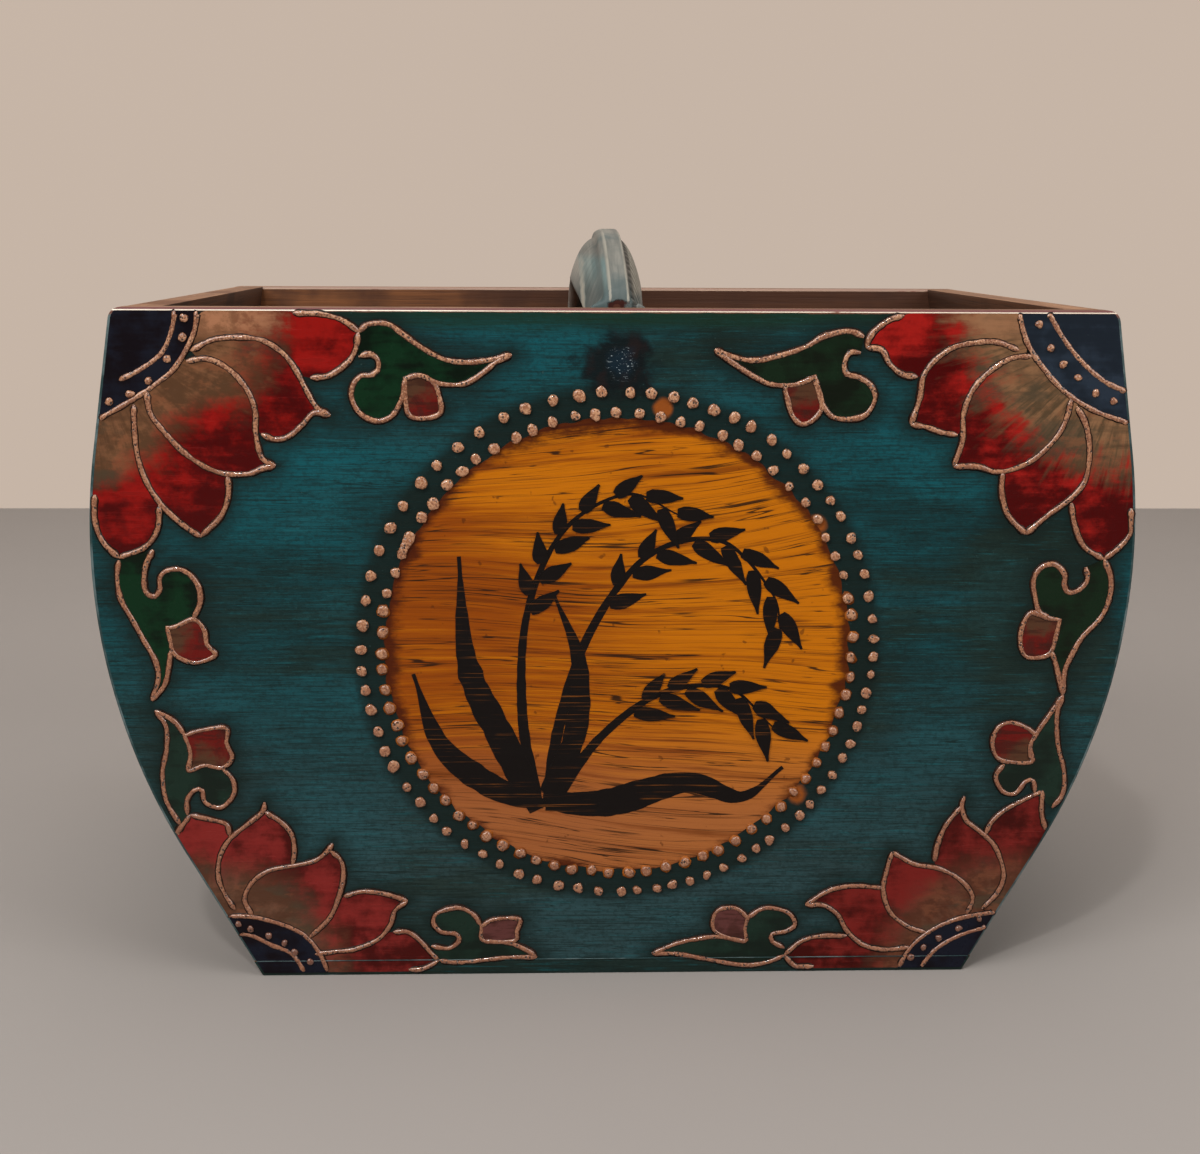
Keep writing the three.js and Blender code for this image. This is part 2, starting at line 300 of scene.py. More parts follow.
def cut_holes(piece: Piece, holes: Sequence[tuple[Vector, Vector, float]]) -> None:
    """Cuts round holes.

    Args:
        piece: what is drilled.
        holes: for each, its two ends and its radius in metres.
    """
    drills = []
    for start, end, radius in holes:
        clear_bench()
        bpy.ops.mesh.primitive_cylinder_add(
            vertices=24, radius=radius, depth=(end - start).length, location=(start + end) / 2,
            rotation=(end - start).to_track_quat("Z", "Y").to_euler())
        drills.append(fresh("drill"))
    drill = joined("drill", drills)
    apply_modifier(piece, "BOOLEAN", operation="DIFFERENCE", object=drill, solver="EXACT")
    bpy.data.objects.remove(drill)


# Curves through given points


def smooth_run(points: Sequence[Flat], step: float = 1.2) -> list[Vector]:
    """A smooth line through given points.

    Args:
        points: the points, in millimetres.
        step: the distance between the points that come back.

    Returns:
        Points along the line, both ends included.
    """
    marks = [Vector(p) for p in points]
    if len(marks) == 2:
        count = max(1, round((marks[1] - marks[0]).length / step))
        return [marks[0].lerp(marks[1], k / count) for k in range(count + 1)]
    padded = [2 * marks[0] - marks[1], *marks, 2 * marks[-1] - marks[-2]]
    line = []
    for a, b, c, d in zip(padded, padded[1:], padded[2:], padded[3:]):
        count = max(2, round((c - b).length / step))
        for k in range(count):
            t = k / count
            line.append(0.5 * (2 * b + (c - a) * t + (2 * a - 5 * b + 4 * c - d) * t**2
                               + (3 * b - a - 3 * c + d) * t**3))
    line.append(marks[-1])
    return line


def ease(low: float, high: float, value: float) -> float:
    """0 below low, 1 above high, with a smooth rise between."""
    share = min(1.0, max(0.0, (value - low) / (high - low)))
    return share * share * (3 - 2 * share)


def lerp(a: float, b: float, share: float) -> float:
    """The value a share of the way from a to b."""
    return a + (b - a) * share


# Paints and woods


class PaintPot:
    """A material being mixed: its shader, and the nodes that feed it from the object's own coordinates."""

    def __init__(self, name: str) -> None:
        """Opens a new material.

        Args:
            name: the material's name.
        """
        self.material = bpy.data.materials.new(name)
        self.material.use_nodes = True
        self.tree = self.material.node_tree
        self.shader = self.tree.nodes["Principled BSDF"]
        self.place = self.tree.nodes.new("ShaderNodeTexCoord").outputs["Object"]

    def node(self, kind: str, feeds: dict[int | str, Feed] | None = None,
             **settings: object) -> bpy.types.Node:
        """Adds a node, sets its options, and feeds its inputs with values or other sockets.

        Args:
            kind: Blender's name, without its prefix.
            feeds: what goes into its inputs.
            settings: its options.

        Returns:
            The node.
        """
        made = self.tree.nodes.new("ShaderNode" + kind)
        for key, value in settings.items():
            setattr(made, key, value)
        for key, value in (feeds or {}).items():
            self.feed(made.inputs[key], value)
        return made

    def feed(self, socket: Socket, value: Feed) -> None:
        """Links a socket to an input, or writes a plain value or colour there.

        Args:
            socket: the input.
            value: what goes in.
        """
        if isinstance(value, bpy.types.NodeSocket):
            self.tree.links.new(value, socket)
        elif isinstance(value, tuple) and socket.type == "RGBA":
            socket.default_value = (*value, 1.0)
        else:
            socket.default_value = value

    def at(self, stretch: Stretch, shift: Colour = (0, 0, 0), place: Socket | None = None) -> Socket:
        """The object's coordinates or another place, scaled per metre along each axis and then moved.

        Args:
            stretch: one scale, or one for each axis.
            shift: the move.
            place: the place, if it isn't the object's own.

        Returns:
            The coordinates.
        """
        scale = stretch if isinstance(stretch, tuple) else (stretch,) * 3
        place = self.place if place is None else place
        return self.node("Mapping", {"Vector": place, "Scale": scale, "Location": shift}).outputs[0]

    def noise(self, stretch: Stretch, detail: float = 3.0, rough: float = 0.55, warp: float = 0.0,
              shift: Colour = (0, 0, 0), place: Socket | None = None) -> Socket:
        """Soft noise with so many features per metre along each axis.

        Args:
            stretch: features per metre, all ways or along each axis.
            detail: its finer layers.
            rough: how strong those are.
            warp: how much it wanders.
            shift: how far it is moved.
            place: where it is read, if not at the piece's own points.

        Returns:
            The noise.
        """
        return self.node("TexNoise", {"Vector": self.at(stretch, shift, place), "Scale": 1.0,
                                      "Detail": detail, "Roughness": rough,
                                      "Distortion": warp}).outputs["Fac"]

    def math(self, operation: str, *values: Feed, clamp: bool = False) -> Socket:
        """One sum on numbers."""
        return self.node("Math", dict(enumerate(values)), operation=operation, use_clamp=clamp).outputs[0]

    def add(self, first: Feed, second: Feed) -> Socket:
        """The sum of two numbers."""
        return self.math("ADD", first, second)

    def minus(self, first: Feed, second: Feed) -> Socket:
        """The first number without the second."""
        return self.math("SUBTRACT", first, second)

    def times(self, first: Feed, second: Feed) -> Socket:
        """The product of two numbers."""
        return self.math("MULTIPLY", first, second)

    def swing(self, value: Feed, gain: float) -> Socket:
        """How far a noise swings from its middle, times a gain."""
        return self.times(self.minus(value, 0.5), gain)

    def window(self, value: Feed, low: float, high: float, start: float = 0.0, end: float = 1.0) -> Socket:
        """A smooth step of a value between two bounds."""
        return self.node("MapRange", {"Value": value, "From Min": low, "From Max": high, "To Min": start,
                                      "To Max": end}, interpolation_type="SMOOTHSTEP").outputs[0]

    def mix(self, share: Feed, first: Feed, second: Feed) -> Socket:
        """The first colour, turning to the second as the share goes to 1.

        Args:
            share: how much of the second.
            first: a colour.
            second: another.

        Returns:
            The colour.
        """
        made = self.node("Mix", {"Factor": share}, data_type="RGBA")
        self.feed(made.inputs[6], first)
        self.feed(made.inputs[7], second)
        return made.outputs[2]

    def over(self, colour: Feed, coat: Feed, value: Feed, low: float, high: float,
             share: float = 1.0) -> Socket:
        """Lays a second colour over the first as a value goes from one bound to the other.

        Args:
            colour: what is there.
            coat: what goes over it.
            value: the number that says where.
            low: the bound at which the coat begins.
            high: the bound at which it has its full share.
            share: that share.

        Returns:
            The colour.
        """
        return self.mix(self.window(value, low, high, 0, share), colour, coat)

    def hairs(self, stretch: Stretch, width: float, strength: float, warp: float = 0.3) -> Socket:
        """Thin wandering lines, where a stretched noise crosses its middle, broken up in patches.

        Args:
            stretch: features per metre.
            width: half a line's width, in units of the noise.
            strength: how dark they get.
            warp: how much they wander.

        Returns:
            How much of a line there is, up to the strength.
        """
        level = self.noise(stretch, 3, 0.5, warp, shift=(0, 0, 7.7))
        off = self.math("ABSOLUTE", self.minus(level, 0.5))
        patch = self.noise((34, 34, 90), 2, shift=(5, 0, 0))
        return self.times(self.window(off, width, width * 0.3, 0, strength), self.window(patch, 0.4, 0.56))

    def axis(self, name: str) -> Socket:
        """One coordinate of the place, in metres."""
        return self.node("SeparateXYZ", {"Vector": self.place}).outputs[name]

    def reach(self, x: float, z: float, wide: float = 1.0, tall: float = 1.0) -> Socket:
        """The distance in millimetres from a point of the board's face, seen square on.

        Args:
            x: the point's x, in millimetres.
            z: its height.
            wide: how far it spreads sideways.
            tall: how far upwards.

        Returns:
            The distance.
        """
        dx = self.times(self.minus(self.axis("X"), x * MM), 1000 / wide)
        dz = self.times(self.minus(self.axis("Z"), z * MM), 1000 / tall)
        return self.math("SQRT", self.add(self.times(dx, dx), self.times(dz, dz)))

    def stored(self, name: str) -> Socket:
        """A number that the piece's own mesh carries."""
        return self.node("Attribute", attribute_name=name).outputs["Fac"]

    def finish(
            self, colour: Feed, rough: Feed, relief: Socket | None = None, depth: float = 0.1,
            gloss: float = 0.3, coat: float = 0.0, coat_rough: float = 0.15, metal: float = 0.0) -> Material:
        """Feeds the shader.

        Args:
            colour: the paint's colour.
            rough: its roughness.
            relief: the height that its bumps follow.
            depth: how high they stand, in millimetres.
            gloss: the specular level.
            coat: the weight of a clear coat.
            coat_rough: that coat's roughness.
            metal: 1 for bare metal.

        Returns:
            The material.
        """
        self.feed(self.shader.inputs["Base Color"], colour)
        self.feed(self.shader.inputs["Roughness"], rough)
        for socket, value in (("Specular IOR Level", gloss), ("Coat Weight", coat),
                              ("Coat Roughness", coat_rough), ("Metallic", metal)):
            self.shader.inputs[socket].default_value = value
        if relief is not None:
            bump = self.node("Bump", {"Height": relief, "Distance": depth * MM, "Strength": 1.0})
            self.feed(self.shader.inputs["Normal"], bump.outputs[0])
        return self.material


@dataclass(frozen=True)
class TealLacquer:
    """Blue-green paint brushed along the grain, darker beside the raised work where it also carries painted
    shadow, paler towards the foot as a painted sheen, under a worn gloss.
    """

    name: str = "teal_lacquer"
    bright: Colour = (0.006, 0.088, 0.106)
    body: Colour = (0.007, 0.034, 0.037)
    deep: Colour = (0.006, 0.013, 0.011)
    green: Colour = (0.014, 0.022, 0.014)
    # painted sheen: the paler, greyer teal towards the foot of the board
    low: Colour = (0.034, 0.063, 0.067)
    cloudy: Colour = (0.012, 0.09, 0.106)
    worn: Colour = (0.045, 0.09, 0.085)
    lit: Colour = (0.01, 0.115, 0.13)
    top: Colour = (0.008, 0.028, 0.014)
    rim: Colour = (0.16, 0.058, 0.034)
    soot: Colour = (0.004, 0.006, 0.007)
    rubbed: Colour = (0.022, 0.009, 0.008)
    blue: Colour = (0.006, 0.018, 0.03)
    # painted glints: pale flecks in the blue of the stain
    painted_glint: Colour = (0.42, 0.5, 0.52)
    spilt: Colour = (0.3, 0.075, 0.01)
    spills: tuple[Colour, ...] = ((17, 226, 4.2), (76, 182, 4.5), (71, 74, 5.0))
    patches: tuple[tuple[float, float, float, float, float], ...] = (
        (-124, 190, 1.2, 60, 0.14), (-30, 246, 1.6, 26, 0.05), (118, 196, 1.3, 44, 0.17),
        (122, 114, 1.0, 34, 0.12), (-8, 20, 3.0, 26, 0.1), (-112, 54, 1.0, 34, 0.19),
        (32, 254, 2.0, 26, -0.1), (152, 152, 0.8, 46, -0.18), (-190, 170, 0.6, 60, 0.06),
        (196, 170, 0.3, 60, 0.08), (150, 212, 1.3, 26, 0.2), (112, 150, 1.0, 22, -0.1),
        (176, 150, 0.6, 46, -0.2), (-176, 108, 0.5, 40, -0.08))
    handle_stain: bool = False

    def make(self) -> Material:
        """Mixes the paint.

        Returns:
            The material.
        """
        pot = PaintPot(self.name)
        broad = pot.noise((7, 7, 24), 4, 0.55, 0.5, shift=(3.1, 0, 1.7))
        streak = pot.noise((10, 10, 330), 6, 0.75, 0.4)
        fine = pot.noise((45, 45, 1500), 5, 0.75)
        lift = pot.noise((60, 60, 1100), 4, 0.7, shift=(2.0, 0, 9.0))
        weave = pot.noise((600, 600, 800), 3, 0.65)
        share = pot.add(pot.times(streak, 0.45), pot.times(broad, 0.75))
        for x, z, wide, size, gain in self.patches:
            share = pot.add(share, pot.window(pot.reach(x, z, wide), size, size * 0.2, 0, gain))
        colour = pot.over(self.body, self.bright, share, 0.52, 0.88)
        cloud = pot.noise((16, 16, 34), 4, 0.6, shift=(0, 0, 3.3))
        colour = pot.over(colour, self.cloudy, cloud, 0.5, 0.68, 0.55)
        colour = pot.over(colour, self.deep, cloud, 0.47, 0.34, 0.5)
        # Painted sheen: paler and greyer towards the foot.
        colour = pot.over(colour, self.low, pot.axis("Z"), 0.15, 0.02, 0.7)
        colour = pot.over(colour, self.green, share, 0.62, 0.46, 0.65)
        colour = pot.over(colour, self.deep, fine, 0.46, 0.62, 0.6)
        colour = pot.over(colour, self.lit, lift, 0.54, 0.7, 0.4)
        colour = pot.over(colour, self.deep, weave, 0.46, 0.62, 0.35)
        colour = pot.mix(pot.hairs((9, 1, 300), 0.008, 0.7), colour, self.deep)
        top = pot.add(pot.axis("Z"), pot.swing(streak, 0.014))
        colour = pot.over(colour, self.top, top, 0.253, 0.261, 0.8)
        # Darker paint and painted shadow beside the raised work, from the stored shade.
        colour = pot.mix(pot.times(pot.stored("shade"), 0.93), colour, self.deep)
        if self.handle_stain:
            colour = self.stain(pot, colour)
        speck = pot.noise(900, 2)
        colour = pot.over(colour, self.worn, speck, 0.72, 0.78, 0.5)
        rubbed = pot.add(pot.axis("Z"), pot.times(pot.noise((120, 120, 60), 4), 0.0014))
        colour = pot.over(colour, self.rim, rubbed, 0.262, 0.2623, 0.8)
        rough = pot.window(fine, 0.3, 0.7, 0.22, 0.4)
        relief = pot.add(pot.times(fine, 0.5), streak)
        return pot.finish(colour, rough, relief, 0.12, gloss=0.13)

    def stain(self, pot: PaintPot, colour: Socket) -> Socket:
        """Soot and rubbed patches over the fixings of the handle, with painted glints in them, and three
        spills of gold size.

        Args:
            pot: the paint being mixed.
            colour: the paint so far.

        Returns:
            The stained colour.
        """
        ragged = pot.swing(pot.noise((70, 70, 90), 5, 0.6, 0.4), 26)
        soot = pot.add(pot.reach(-0.5, 243.5, 0.98, 0.86), ragged)
        colour = pot.over(colour, self.soot, soot, 18, 11, 0.94)
        rub = pot.times(pot.window(soot, 17, 9), pot.window(pot.noise((95, 95, 60), 4), 0.47, 0.6))
        colour = pot.mix(pot.times(rub, 0.45), colour, self.rubbed)
        blue = pot.add(pot.reach(0, 243, 0.95, 0.9), pot.times(ragged, 0.5))
        colour = pot.over(colour, self.blue, blue, 9, 4, 0.75)
        # Painted glints: pale flecks where the stain's rough surface catches the light.
        glint_flecks = pot.window(pot.noise((700, 700, 1900), 3, 0.6), 0.61, 0.66)
        colour = pot.mix(pot.times(glint_flecks, pot.window(blue, 9, 4, 0, 0.8)), colour, self.painted_glint)
        for x, z, size in self.spills:
            spill = pot.add(pot.reach(x, z), pot.times(ragged, 0.18))
            colour = pot.over(colour, self.spilt, spill, size, size * 0.45, 0.9)
        return colour


@dataclass(frozen=True)
class WornEdgeHighlight:
    """The arris of a painted board, rubbed through to pale ground in places, with a painted highlight along
    it that is near white on the rim.
    """

    name: str = "worn_edge"
    paint: Colour = (0.016, 0.045, 0.046)
    rubbed: Colour = (0.105, 0.15, 0.152)
    # the rim's worn arris, painted near white as a highlight
    rim_worn_highlight: Colour = (0.98, 0.88, 0.72)
    rim_dull_highlight: Colour = (0.8, 0.66, 0.52)
    rim_paint: Colour = (0.25, 0.115, 0.08)
    rim_top: Colour = (0.15, 0.05, 0.045)
    rim_line: Colour = (0.15, 0.056, 0.036)

    def make(self) -> Material:
        """Mixes the edge's colours.

        Returns:
            The material.
        """
        pot = PaintPot(self.name)
        wear = pot.noise(60, 4, 0.6)
        # Side arrises: rubbed paint, made paler as a painted highlight.
        side = pot.over(self.paint, self.rubbed, wear, 0.42, 0.62)
        # Rim arris: worn wood painted near white, a painted highlight along the edge.
        worn = pot.over(self.rim_dull_highlight, self.rim_worn_highlight, pot.noise(14, 4), 0.44, 0.6)
        rim = pot.over(self.rim_paint, worn, wear, 0.28, 0.38)
        rim = pot.over(self.rim_line, rim, pot.axis("Z"), 0.26165, 0.26185)
        rim = pot.over(rim, self.rim_top, pot.axis("Z"), 0.2621, 0.2623)
        colour = pot.over(side, rim, pot.axis("Z"), 0.2595, 0.261)
        return pot.finish(colour, pot.window(wear, 0.3, 0.7, 0.45, 0.6), wear, 0.15, gloss=0.3)


@dataclass(frozen=True)
class BareWood:
    """Old unpainted softwood, oiled brown by use, its grain along X or along Y."""

    name: str
    light: Colour = (0.23, 0.082, 0.026)
    dark: Colour = (0.05, 0.017, 0.008)
    grain_along_y: bool = False

    def make(self) -> Material:
        """Mixes the wood's colours.

        Returns:
            The material.
        """
        pot = PaintPot(self.name)
        slow, quick = (7, 260) if self.grain_along_y else (260, 7)
        grain = pot.noise((quick, slow, 260), 5, 0.6, 0.35)
        pores = pot.noise((quick * 4, slow * 3, 1100), 3, 0.6)
        blotch = pot.noise(16, 4, 0.6)
        middle = pot.mix(0.45, self.dark, self.light)
        colour = pot.over(middle, self.light, grain, 0.36, 0.66)
        colour = pot.over(colour, self.dark, pores, 0.54, 0.7, 0.6)
        colour = pot.over(colour, self.dark, blotch, 0.48, 0.64, 0.75)
        if not self.grain_along_y:
            colour = pot.over(colour, self.dark, pot.axis("X"), -0.07, -0.02, 0.8)
        relief = pot.minus(grain, pot.times(pores, 0.6))
        return pot.finish(colour, pot.window(grain, 0.3, 0.7, 0.55, 0.75), relief, 0.2, gloss=0.3)


@dataclass(frozen=True)
class GoldLacquer:
    """Amber lacquer over brushed gold: thin dark grain lines, pinker below, browned at its ragged rim."""

    name: str = "gold_lacquer"
    centre: Flat = (0.5, 133.3)
    radius: float = 89.3
    bright: Colour = (0.52, 0.15, 0.001)
    body: Colour = (0.27, 0.056, 0.001)
    grain: Colour = (0.075, 0.017, 0.002)
    low: Colour = (0.33, 0.108, 0.034)
    rim: Colour = (0.062, 0.009, 0.001)
    streak: Colour = (0.15, 0.03, 0.001)
    crack: Colour = (0.016, 0.007, 0.003)

    def make(self) -> Material:
        """Mixes the lacquer.

        Returns:
            The material.
        """
        pot = PaintPot(self.name)
        wave = pot.times(pot.noise((5, 5, 8), 1, shift=(0.4, 0, 2.2)), 0.045)
        tilt = pot.times(pot.axis("X"), pot.window(pot.axis("Z"), 0.145, 0.195, 0, -0.1))
        wave = pot.add(wave, tilt)
        lifted = pot.node("CombineXYZ", {"X": pot.axis("X"), "Z": pot.add(pot.axis("Z"), wave)}).outputs[0]
        brush = pot.noise((10, 1, 330), 5, 0.65, place=lifted)
        hair = pot.noise((12, 1, 1300), 5, 0.65, place=lifted)
        cloud = pot.noise((11, 11, 16), 3, shift=(0, 0, 4))
        from_centre = pot.reach(*self.centre)
        across = pot.add(
            pot.window(pot.axis("X"), -0.06, 0.065), pot.window(pot.reach(-28, 192, 1.5), 36, 8, 0, 0.6))
        share = pot.add(pot.times(brush, 0.7), pot.times(cloud, 0.35))
        share = pot.add(share, pot.times(across, 0.24))
        colour = pot.over(self.body, self.bright, share, 0.5, 0.78)
        colour = pot.over(colour, self.low, pot.axis("Z"), 0.11, 0.062, 0.85)
        colour = pot.over(colour, self.streak, brush, 0.47, 0.34, 0.6)
        colour = pot.over(colour, self.grain, hair, 0.54, 0.66, 0.55)
        for stretch, seed in (((4, 1, 160), 2), ((5, 1, 300), 3)):
            crack = pot.math("ABSOLUTE", pot.minus(pot.noise(stretch, seed, 0.65, place=lifted), 0.5))
            broken = pot.window(pot.noise((15, 15, 90), 3, shift=(seed, 0, seed)), 0.42, 0.54)
            colour = pot.mix(
                pot.times(pot.window(crack, 0.0098, 0.0032, 0, 0.92), broken), colour, self.crack)
        ragged = pot.swing(pot.noise((60, 60, 160), 5, 0.65), 15)
        rim = pot.add(from_centre, pot.minus(ragged, pot.window(pot.axis("Z"), 0.12, 0.07, 0, 3.5)))
        colour = pot.over(colour, self.rim, rim, self.radius - 5.8, self.radius - 0.8, 0.95)
        stain = pot.noise(230, 2)
        colour = pot.over(colour, self.grain, stain, 0.7, 0.76, 0.6)
        relief = pot.minus(pot.times(brush, 0.6), hair)
        return pot.finish(colour, pot.window(hair, 0.3, 0.7, 0.28, 0.42), relief, 0.12, gloss=0.14)


@dataclass(frozen=True)
class RaisedLine:
    """Piped gesso under copper-brown size: pitted, paler on its ridge, with painted light high on the board
    and painted shade at its foot.
    """

    name: str = "raised_line"
    ridge: Colour = (0.43, 0.188, 0.092)
    body: Colour = (0.22, 0.074, 0.032)
    pit: Colour = (0.022, 0.01, 0.007)
    low: Colour = (0.2, 0.068, 0.034)
    lit: Colour = (0.7, 0.4, 0.23)

    def make(self) -> Material:
        """Mixes the gesso.

        Returns:
            The material.
        """
        pot = PaintPot(self.name)
        patch = pot.noise(300, 4, 0.6)
        side_light = pot.window(pot.axis("Z"), 0.205, 0.245, 0, 0.35)
        mottle = pot.noise(1200, 4, 0.7)
        cells = pot.node("TexVoronoi", {"Vector": pot.at((640, 640, 640)), "Scale": 1.0}).outputs["Distance"]
        hollow = pot.add(cells, pot.swing(mottle, 0.5))
        pits = pot.times(pot.window(hollow, 0.36, 0.2), pot.window(patch, 0.42, 0.52))
        both = pot.add(pot.times(mottle, 0.65), pot.times(patch, 0.35))
        colour = pot.over(self.body, self.ridge, both, 0.42, 0.6)
        colour = pot.over(colour, self.low, pot.axis("Z"), 0.2, 0.05, 0.45)
        colour = pot.mix(pot.times(side_light, pot.window(both, 0.45, 0.6)), colour, self.lit)
        colour = pot.over(colour, self.pit, mottle, 0.42, 0.33, 0.75)
        # Painted shade: darker at the foot, where the line or bead meets the board.
        proud = pot.minus(FRONT * MM, pot.axis("Y"))
        colour = pot.over(colour, self.pit, proud, 0.00042, 0.0001, 0.8)
        colour = pot.mix(pot.times(pits, 0.95), colour, self.pit)
        relief = pot.minus(pot.add(pot.times(patch, 0.6), pot.times(mottle, 0.5)), pits)
        return pot.finish(colour, pot.window(mottle, 0.3, 0.7, 0.1, 0.3), relief, 0.24, gloss=0.5, coat=0.8,
                          coat_rough=0.08)


@dataclass(frozen=True)
class PetalGlaze:
    """Red glaze over a flower, turning olive and tan towards its root in the board's corner."""

    name: str
    root: Flat
    turn: float
    glows: tuple[Patch, ...]
    radial: float = 0.35
    wide: float = 1.14
    ragged: float = 19.0
    paleness: float = 0.0
    bleached: float = 0.0
    shifts: tuple[Patch, ...] = ()
    red: Colour = (0.28, 0.007, 0.004)
    dark_red: Colour = (0.06, 0.001, 0.001)
    tan: Colour = (0.26, 0.112, 0.052)
    olive: Colour = (0.07, 0.038, 0.018)
    streak: Colour = (0.03, 0.006, 0.004)
    dirt: Colour = (0.02, 0.014, 0.01)
    moss: Colour = (0.056, 0.046, 0.028)
    rust: Colour = (0.22, 0.06, 0.024)
    faded: Colour = (0.4, 0.178, 0.092)
    half_faded: Colour = (0.2, 0.088, 0.043)

    def make(self) -> Material:
        """Mixes the glaze.

        Returns:
            The material.
        """
        pot = PaintPot(self.name)
        x, z = self.root
        dx = pot.minus(pot.axis("X"), x * MM)
        dz = pot.minus(pot.axis("Z"), z * MM)
        heading = pot.math("ARCTAN2", dz, dx)
        ray = pot.node("CombineXYZ", {"X": pot.times(heading, 26),
                                      "Y": pot.times(pot.reach(x, z), 0.035)}).outputs[0]
        rays = pot.node("TexNoise", {"Vector": ray, "Scale": 1.0, "Detail": 4,
                                     "Roughness": 0.6}).outputs["Fac"]
        level = pot.noise((30, 30, 300), 5, 0.6)
        cloud = pot.noise((60, 60, 70), 4)
        blotch = pot.noise((120, 120, 150), 5, 0.65)
        streaks = pot.swing(rays, self.radial * 3)
        patchy = pot.add(streaks, pot.add(cloud, blotch))
        uneven = pot.times(pot.minus(patchy, 1.0), self.ragged)
        from_root = pot.add(pot.reach(x, z, self.wide), uneven)
        for sx, sz, size, gain in self.shifts:
            from_root = pot.add(from_root, pot.window(pot.reach(sx, sz), size, size * 0.3, 0, gain))
        at_top = pot.window(pot.axis("Z"), 0.249, 0.259, self.paleness - 0.1, self.paleness + 0.34)
        paler = pot.add(patchy, at_top)
        root = pot.over(self.olive, self.tan, paler, 0.78, 1.3)
        root = pot.over(root, self.olive, level, 0.48, 0.64, 0.6)
        root = pot.over(root, pot.mix(0.5, self.olive, self.dirt), cloud, 0.52, 0.66, 0.5)
        upper = pot.add(pot.axis("Z"), pot.swing(blotch, 0.012))
        moss = pot.window(pot.noise((34, 34, 60), 4, 0.6, shift=(5, 0, 2)), 0.5, 0.6, 0, 0.6)
        root = pot.mix(moss, root, self.moss)
        rusty = pot.window(pot.noise((85, 85, 150), 4, 0.65, shift=(1, 0, 7)), 0.52, 0.64, 0, 0.5)
        root = pot.mix(rusty, root, pot.mix(0.5, self.tan, self.rust))
        bleach = pot.over(self.faded, self.half_faded, blotch, 0.42, 0.62)
        root = pot.over(root, bleach, upper, 0.25, 0.256, self.bleached)
        bright = pot.add(pot.times(level, 0.65), pot.add(cloud, blotch))
        bright = pot.math("MULTIPLY_ADD", pot.minus(bright, 1.325), 1.05, 1.175)
        bright = pot.minus(bright, pot.window(pot.reach(x, z), self.turn, self.turn + 40, 0, 0.22))
        for gx, gz, size, gain in self.glows:
            bright = pot.add(bright, pot.window(pot.reach(gx, gz), size, size * 0.3, 0, gain))
        red = pot.over(self.dark_red, self.red, bright, 0.92, 1.5)
        colour = pot.over(root, red, from_root, self.turn - 9, self.turn + 9)
        colour = pot.over(colour, self.streak, level, 0.6, 0.74, 0.35)
        return pot.finish(colour, pot.window(level, 0.3, 0.7, 0.16, 0.3), level, 0.1, gloss=0.14)


@dataclass(frozen=True)
class BudGlaze:
    """Red glaze over the buds, turning tan where each one meets its leaf."""

    name: str = "bud_glaze"
    bases: tuple[Flat, ...] = ((-80, 236), (71, 238), (-173, 141), (166, 147), (-158, 84), (162, 85))
    red: Colour = (0.125, 0.007, 0.005)
    tan: Colour = (0.08, 0.034, 0.017)
    mauve: Colour = (0.105, 0.034, 0.03)
    cloud: Colour = (0.04, 0.012, 0.008)
    streak: Colour = (0.03, 0.009, 0.006)

    def make(self) -> Material:
        """Mixes the glaze.

        Returns:
            The material.
        """
        pot = PaintPot(self.name)
        cloud = pot.noise(140, 5, 0.6)
        near: Feed = 1000.0
        for x, z in self.bases:
            near = pot.math("MINIMUM", near, pot.reach(x, z))
        near = pot.add(near, pot.swing(cloud, 26))
        level = pot.noise((50, 50, 420), 5, 0.65)
        colour = pot.over(self.tan, self.red, near, 4, 13)
        colour = pot.over(colour, self.mauve, pot.axis("Z"), 0.055, 0.035)
        colour = pot.over(colour, self.cloud, cloud, 0.5, 0.64, 0.6)
        colour = pot.over(colour, self.streak, level, 0.48, 0.62, 0.6)
        return pot.finish(colour, pot.window(cloud, 0.3, 0.7, 0.16, 0.3), cloud, 0.1, gloss=0.14)


@dataclass(frozen=True)
class PlainGlaze:
    """A dark glaze of one hue with brushed streaks: leaves, quarter rounds, and pools that also carry the
    lines' painted shadow.
    """

    name: str
    body: Colour
    streak: Colour
    worn: Colour

    def make(self) -> Material:
        """Mixes the glaze.

        Returns:
            The material.
        """
        pot = PaintPot(self.name)
        level = pot.noise((25, 25, 330), 5, 0.6, 0.2)
        cloud = pot.noise(70, 4)
        share = pot.add(pot.times(level, 0.4), cloud)
        colour = pot.over(self.body, self.streak, share, 0.6, 0.82)
        scratch = pot.noise((120, 120, 1500), 3, 0.7)
        colour = pot.over(colour, self.worn, scratch, 0.7, 0.8, 0.55)
        return pot.finish(colour, pot.window(cloud, 0.3, 0.7, 0.16, 0.3), level, 0.08, gloss=0.13)


@dataclass(frozen=True)
class BrushInk:
    """Black brush ink on the gold, dragged dry enough to let some of it through."""

    name: str = "brush_ink"
    ink: Colour = (0.005, 0.003, 0.0025)
    gold: Colour = (0.2, 0.06, 0.006)

    def make(self) -> Material:
        """Mixes the ink.

        Returns:
            The material.
        """
        pot = PaintPot(self.name)
        drag = pot.noise((14, 14, 1300), 5, 0.65)
        patch = pot.noise(45, 3)
        dry = pot.times(pot.window(drag, 0.57, 0.66), pot.window(patch, 0.44, 0.58))
        colour = pot.mix(pot.times(dry, 0.8), self.ink, self.gold)
        return pot.finish(colour, pot.window(drag, 0.3, 0.7, 0.32, 0.5), drag, 0.08, gloss=0.15)


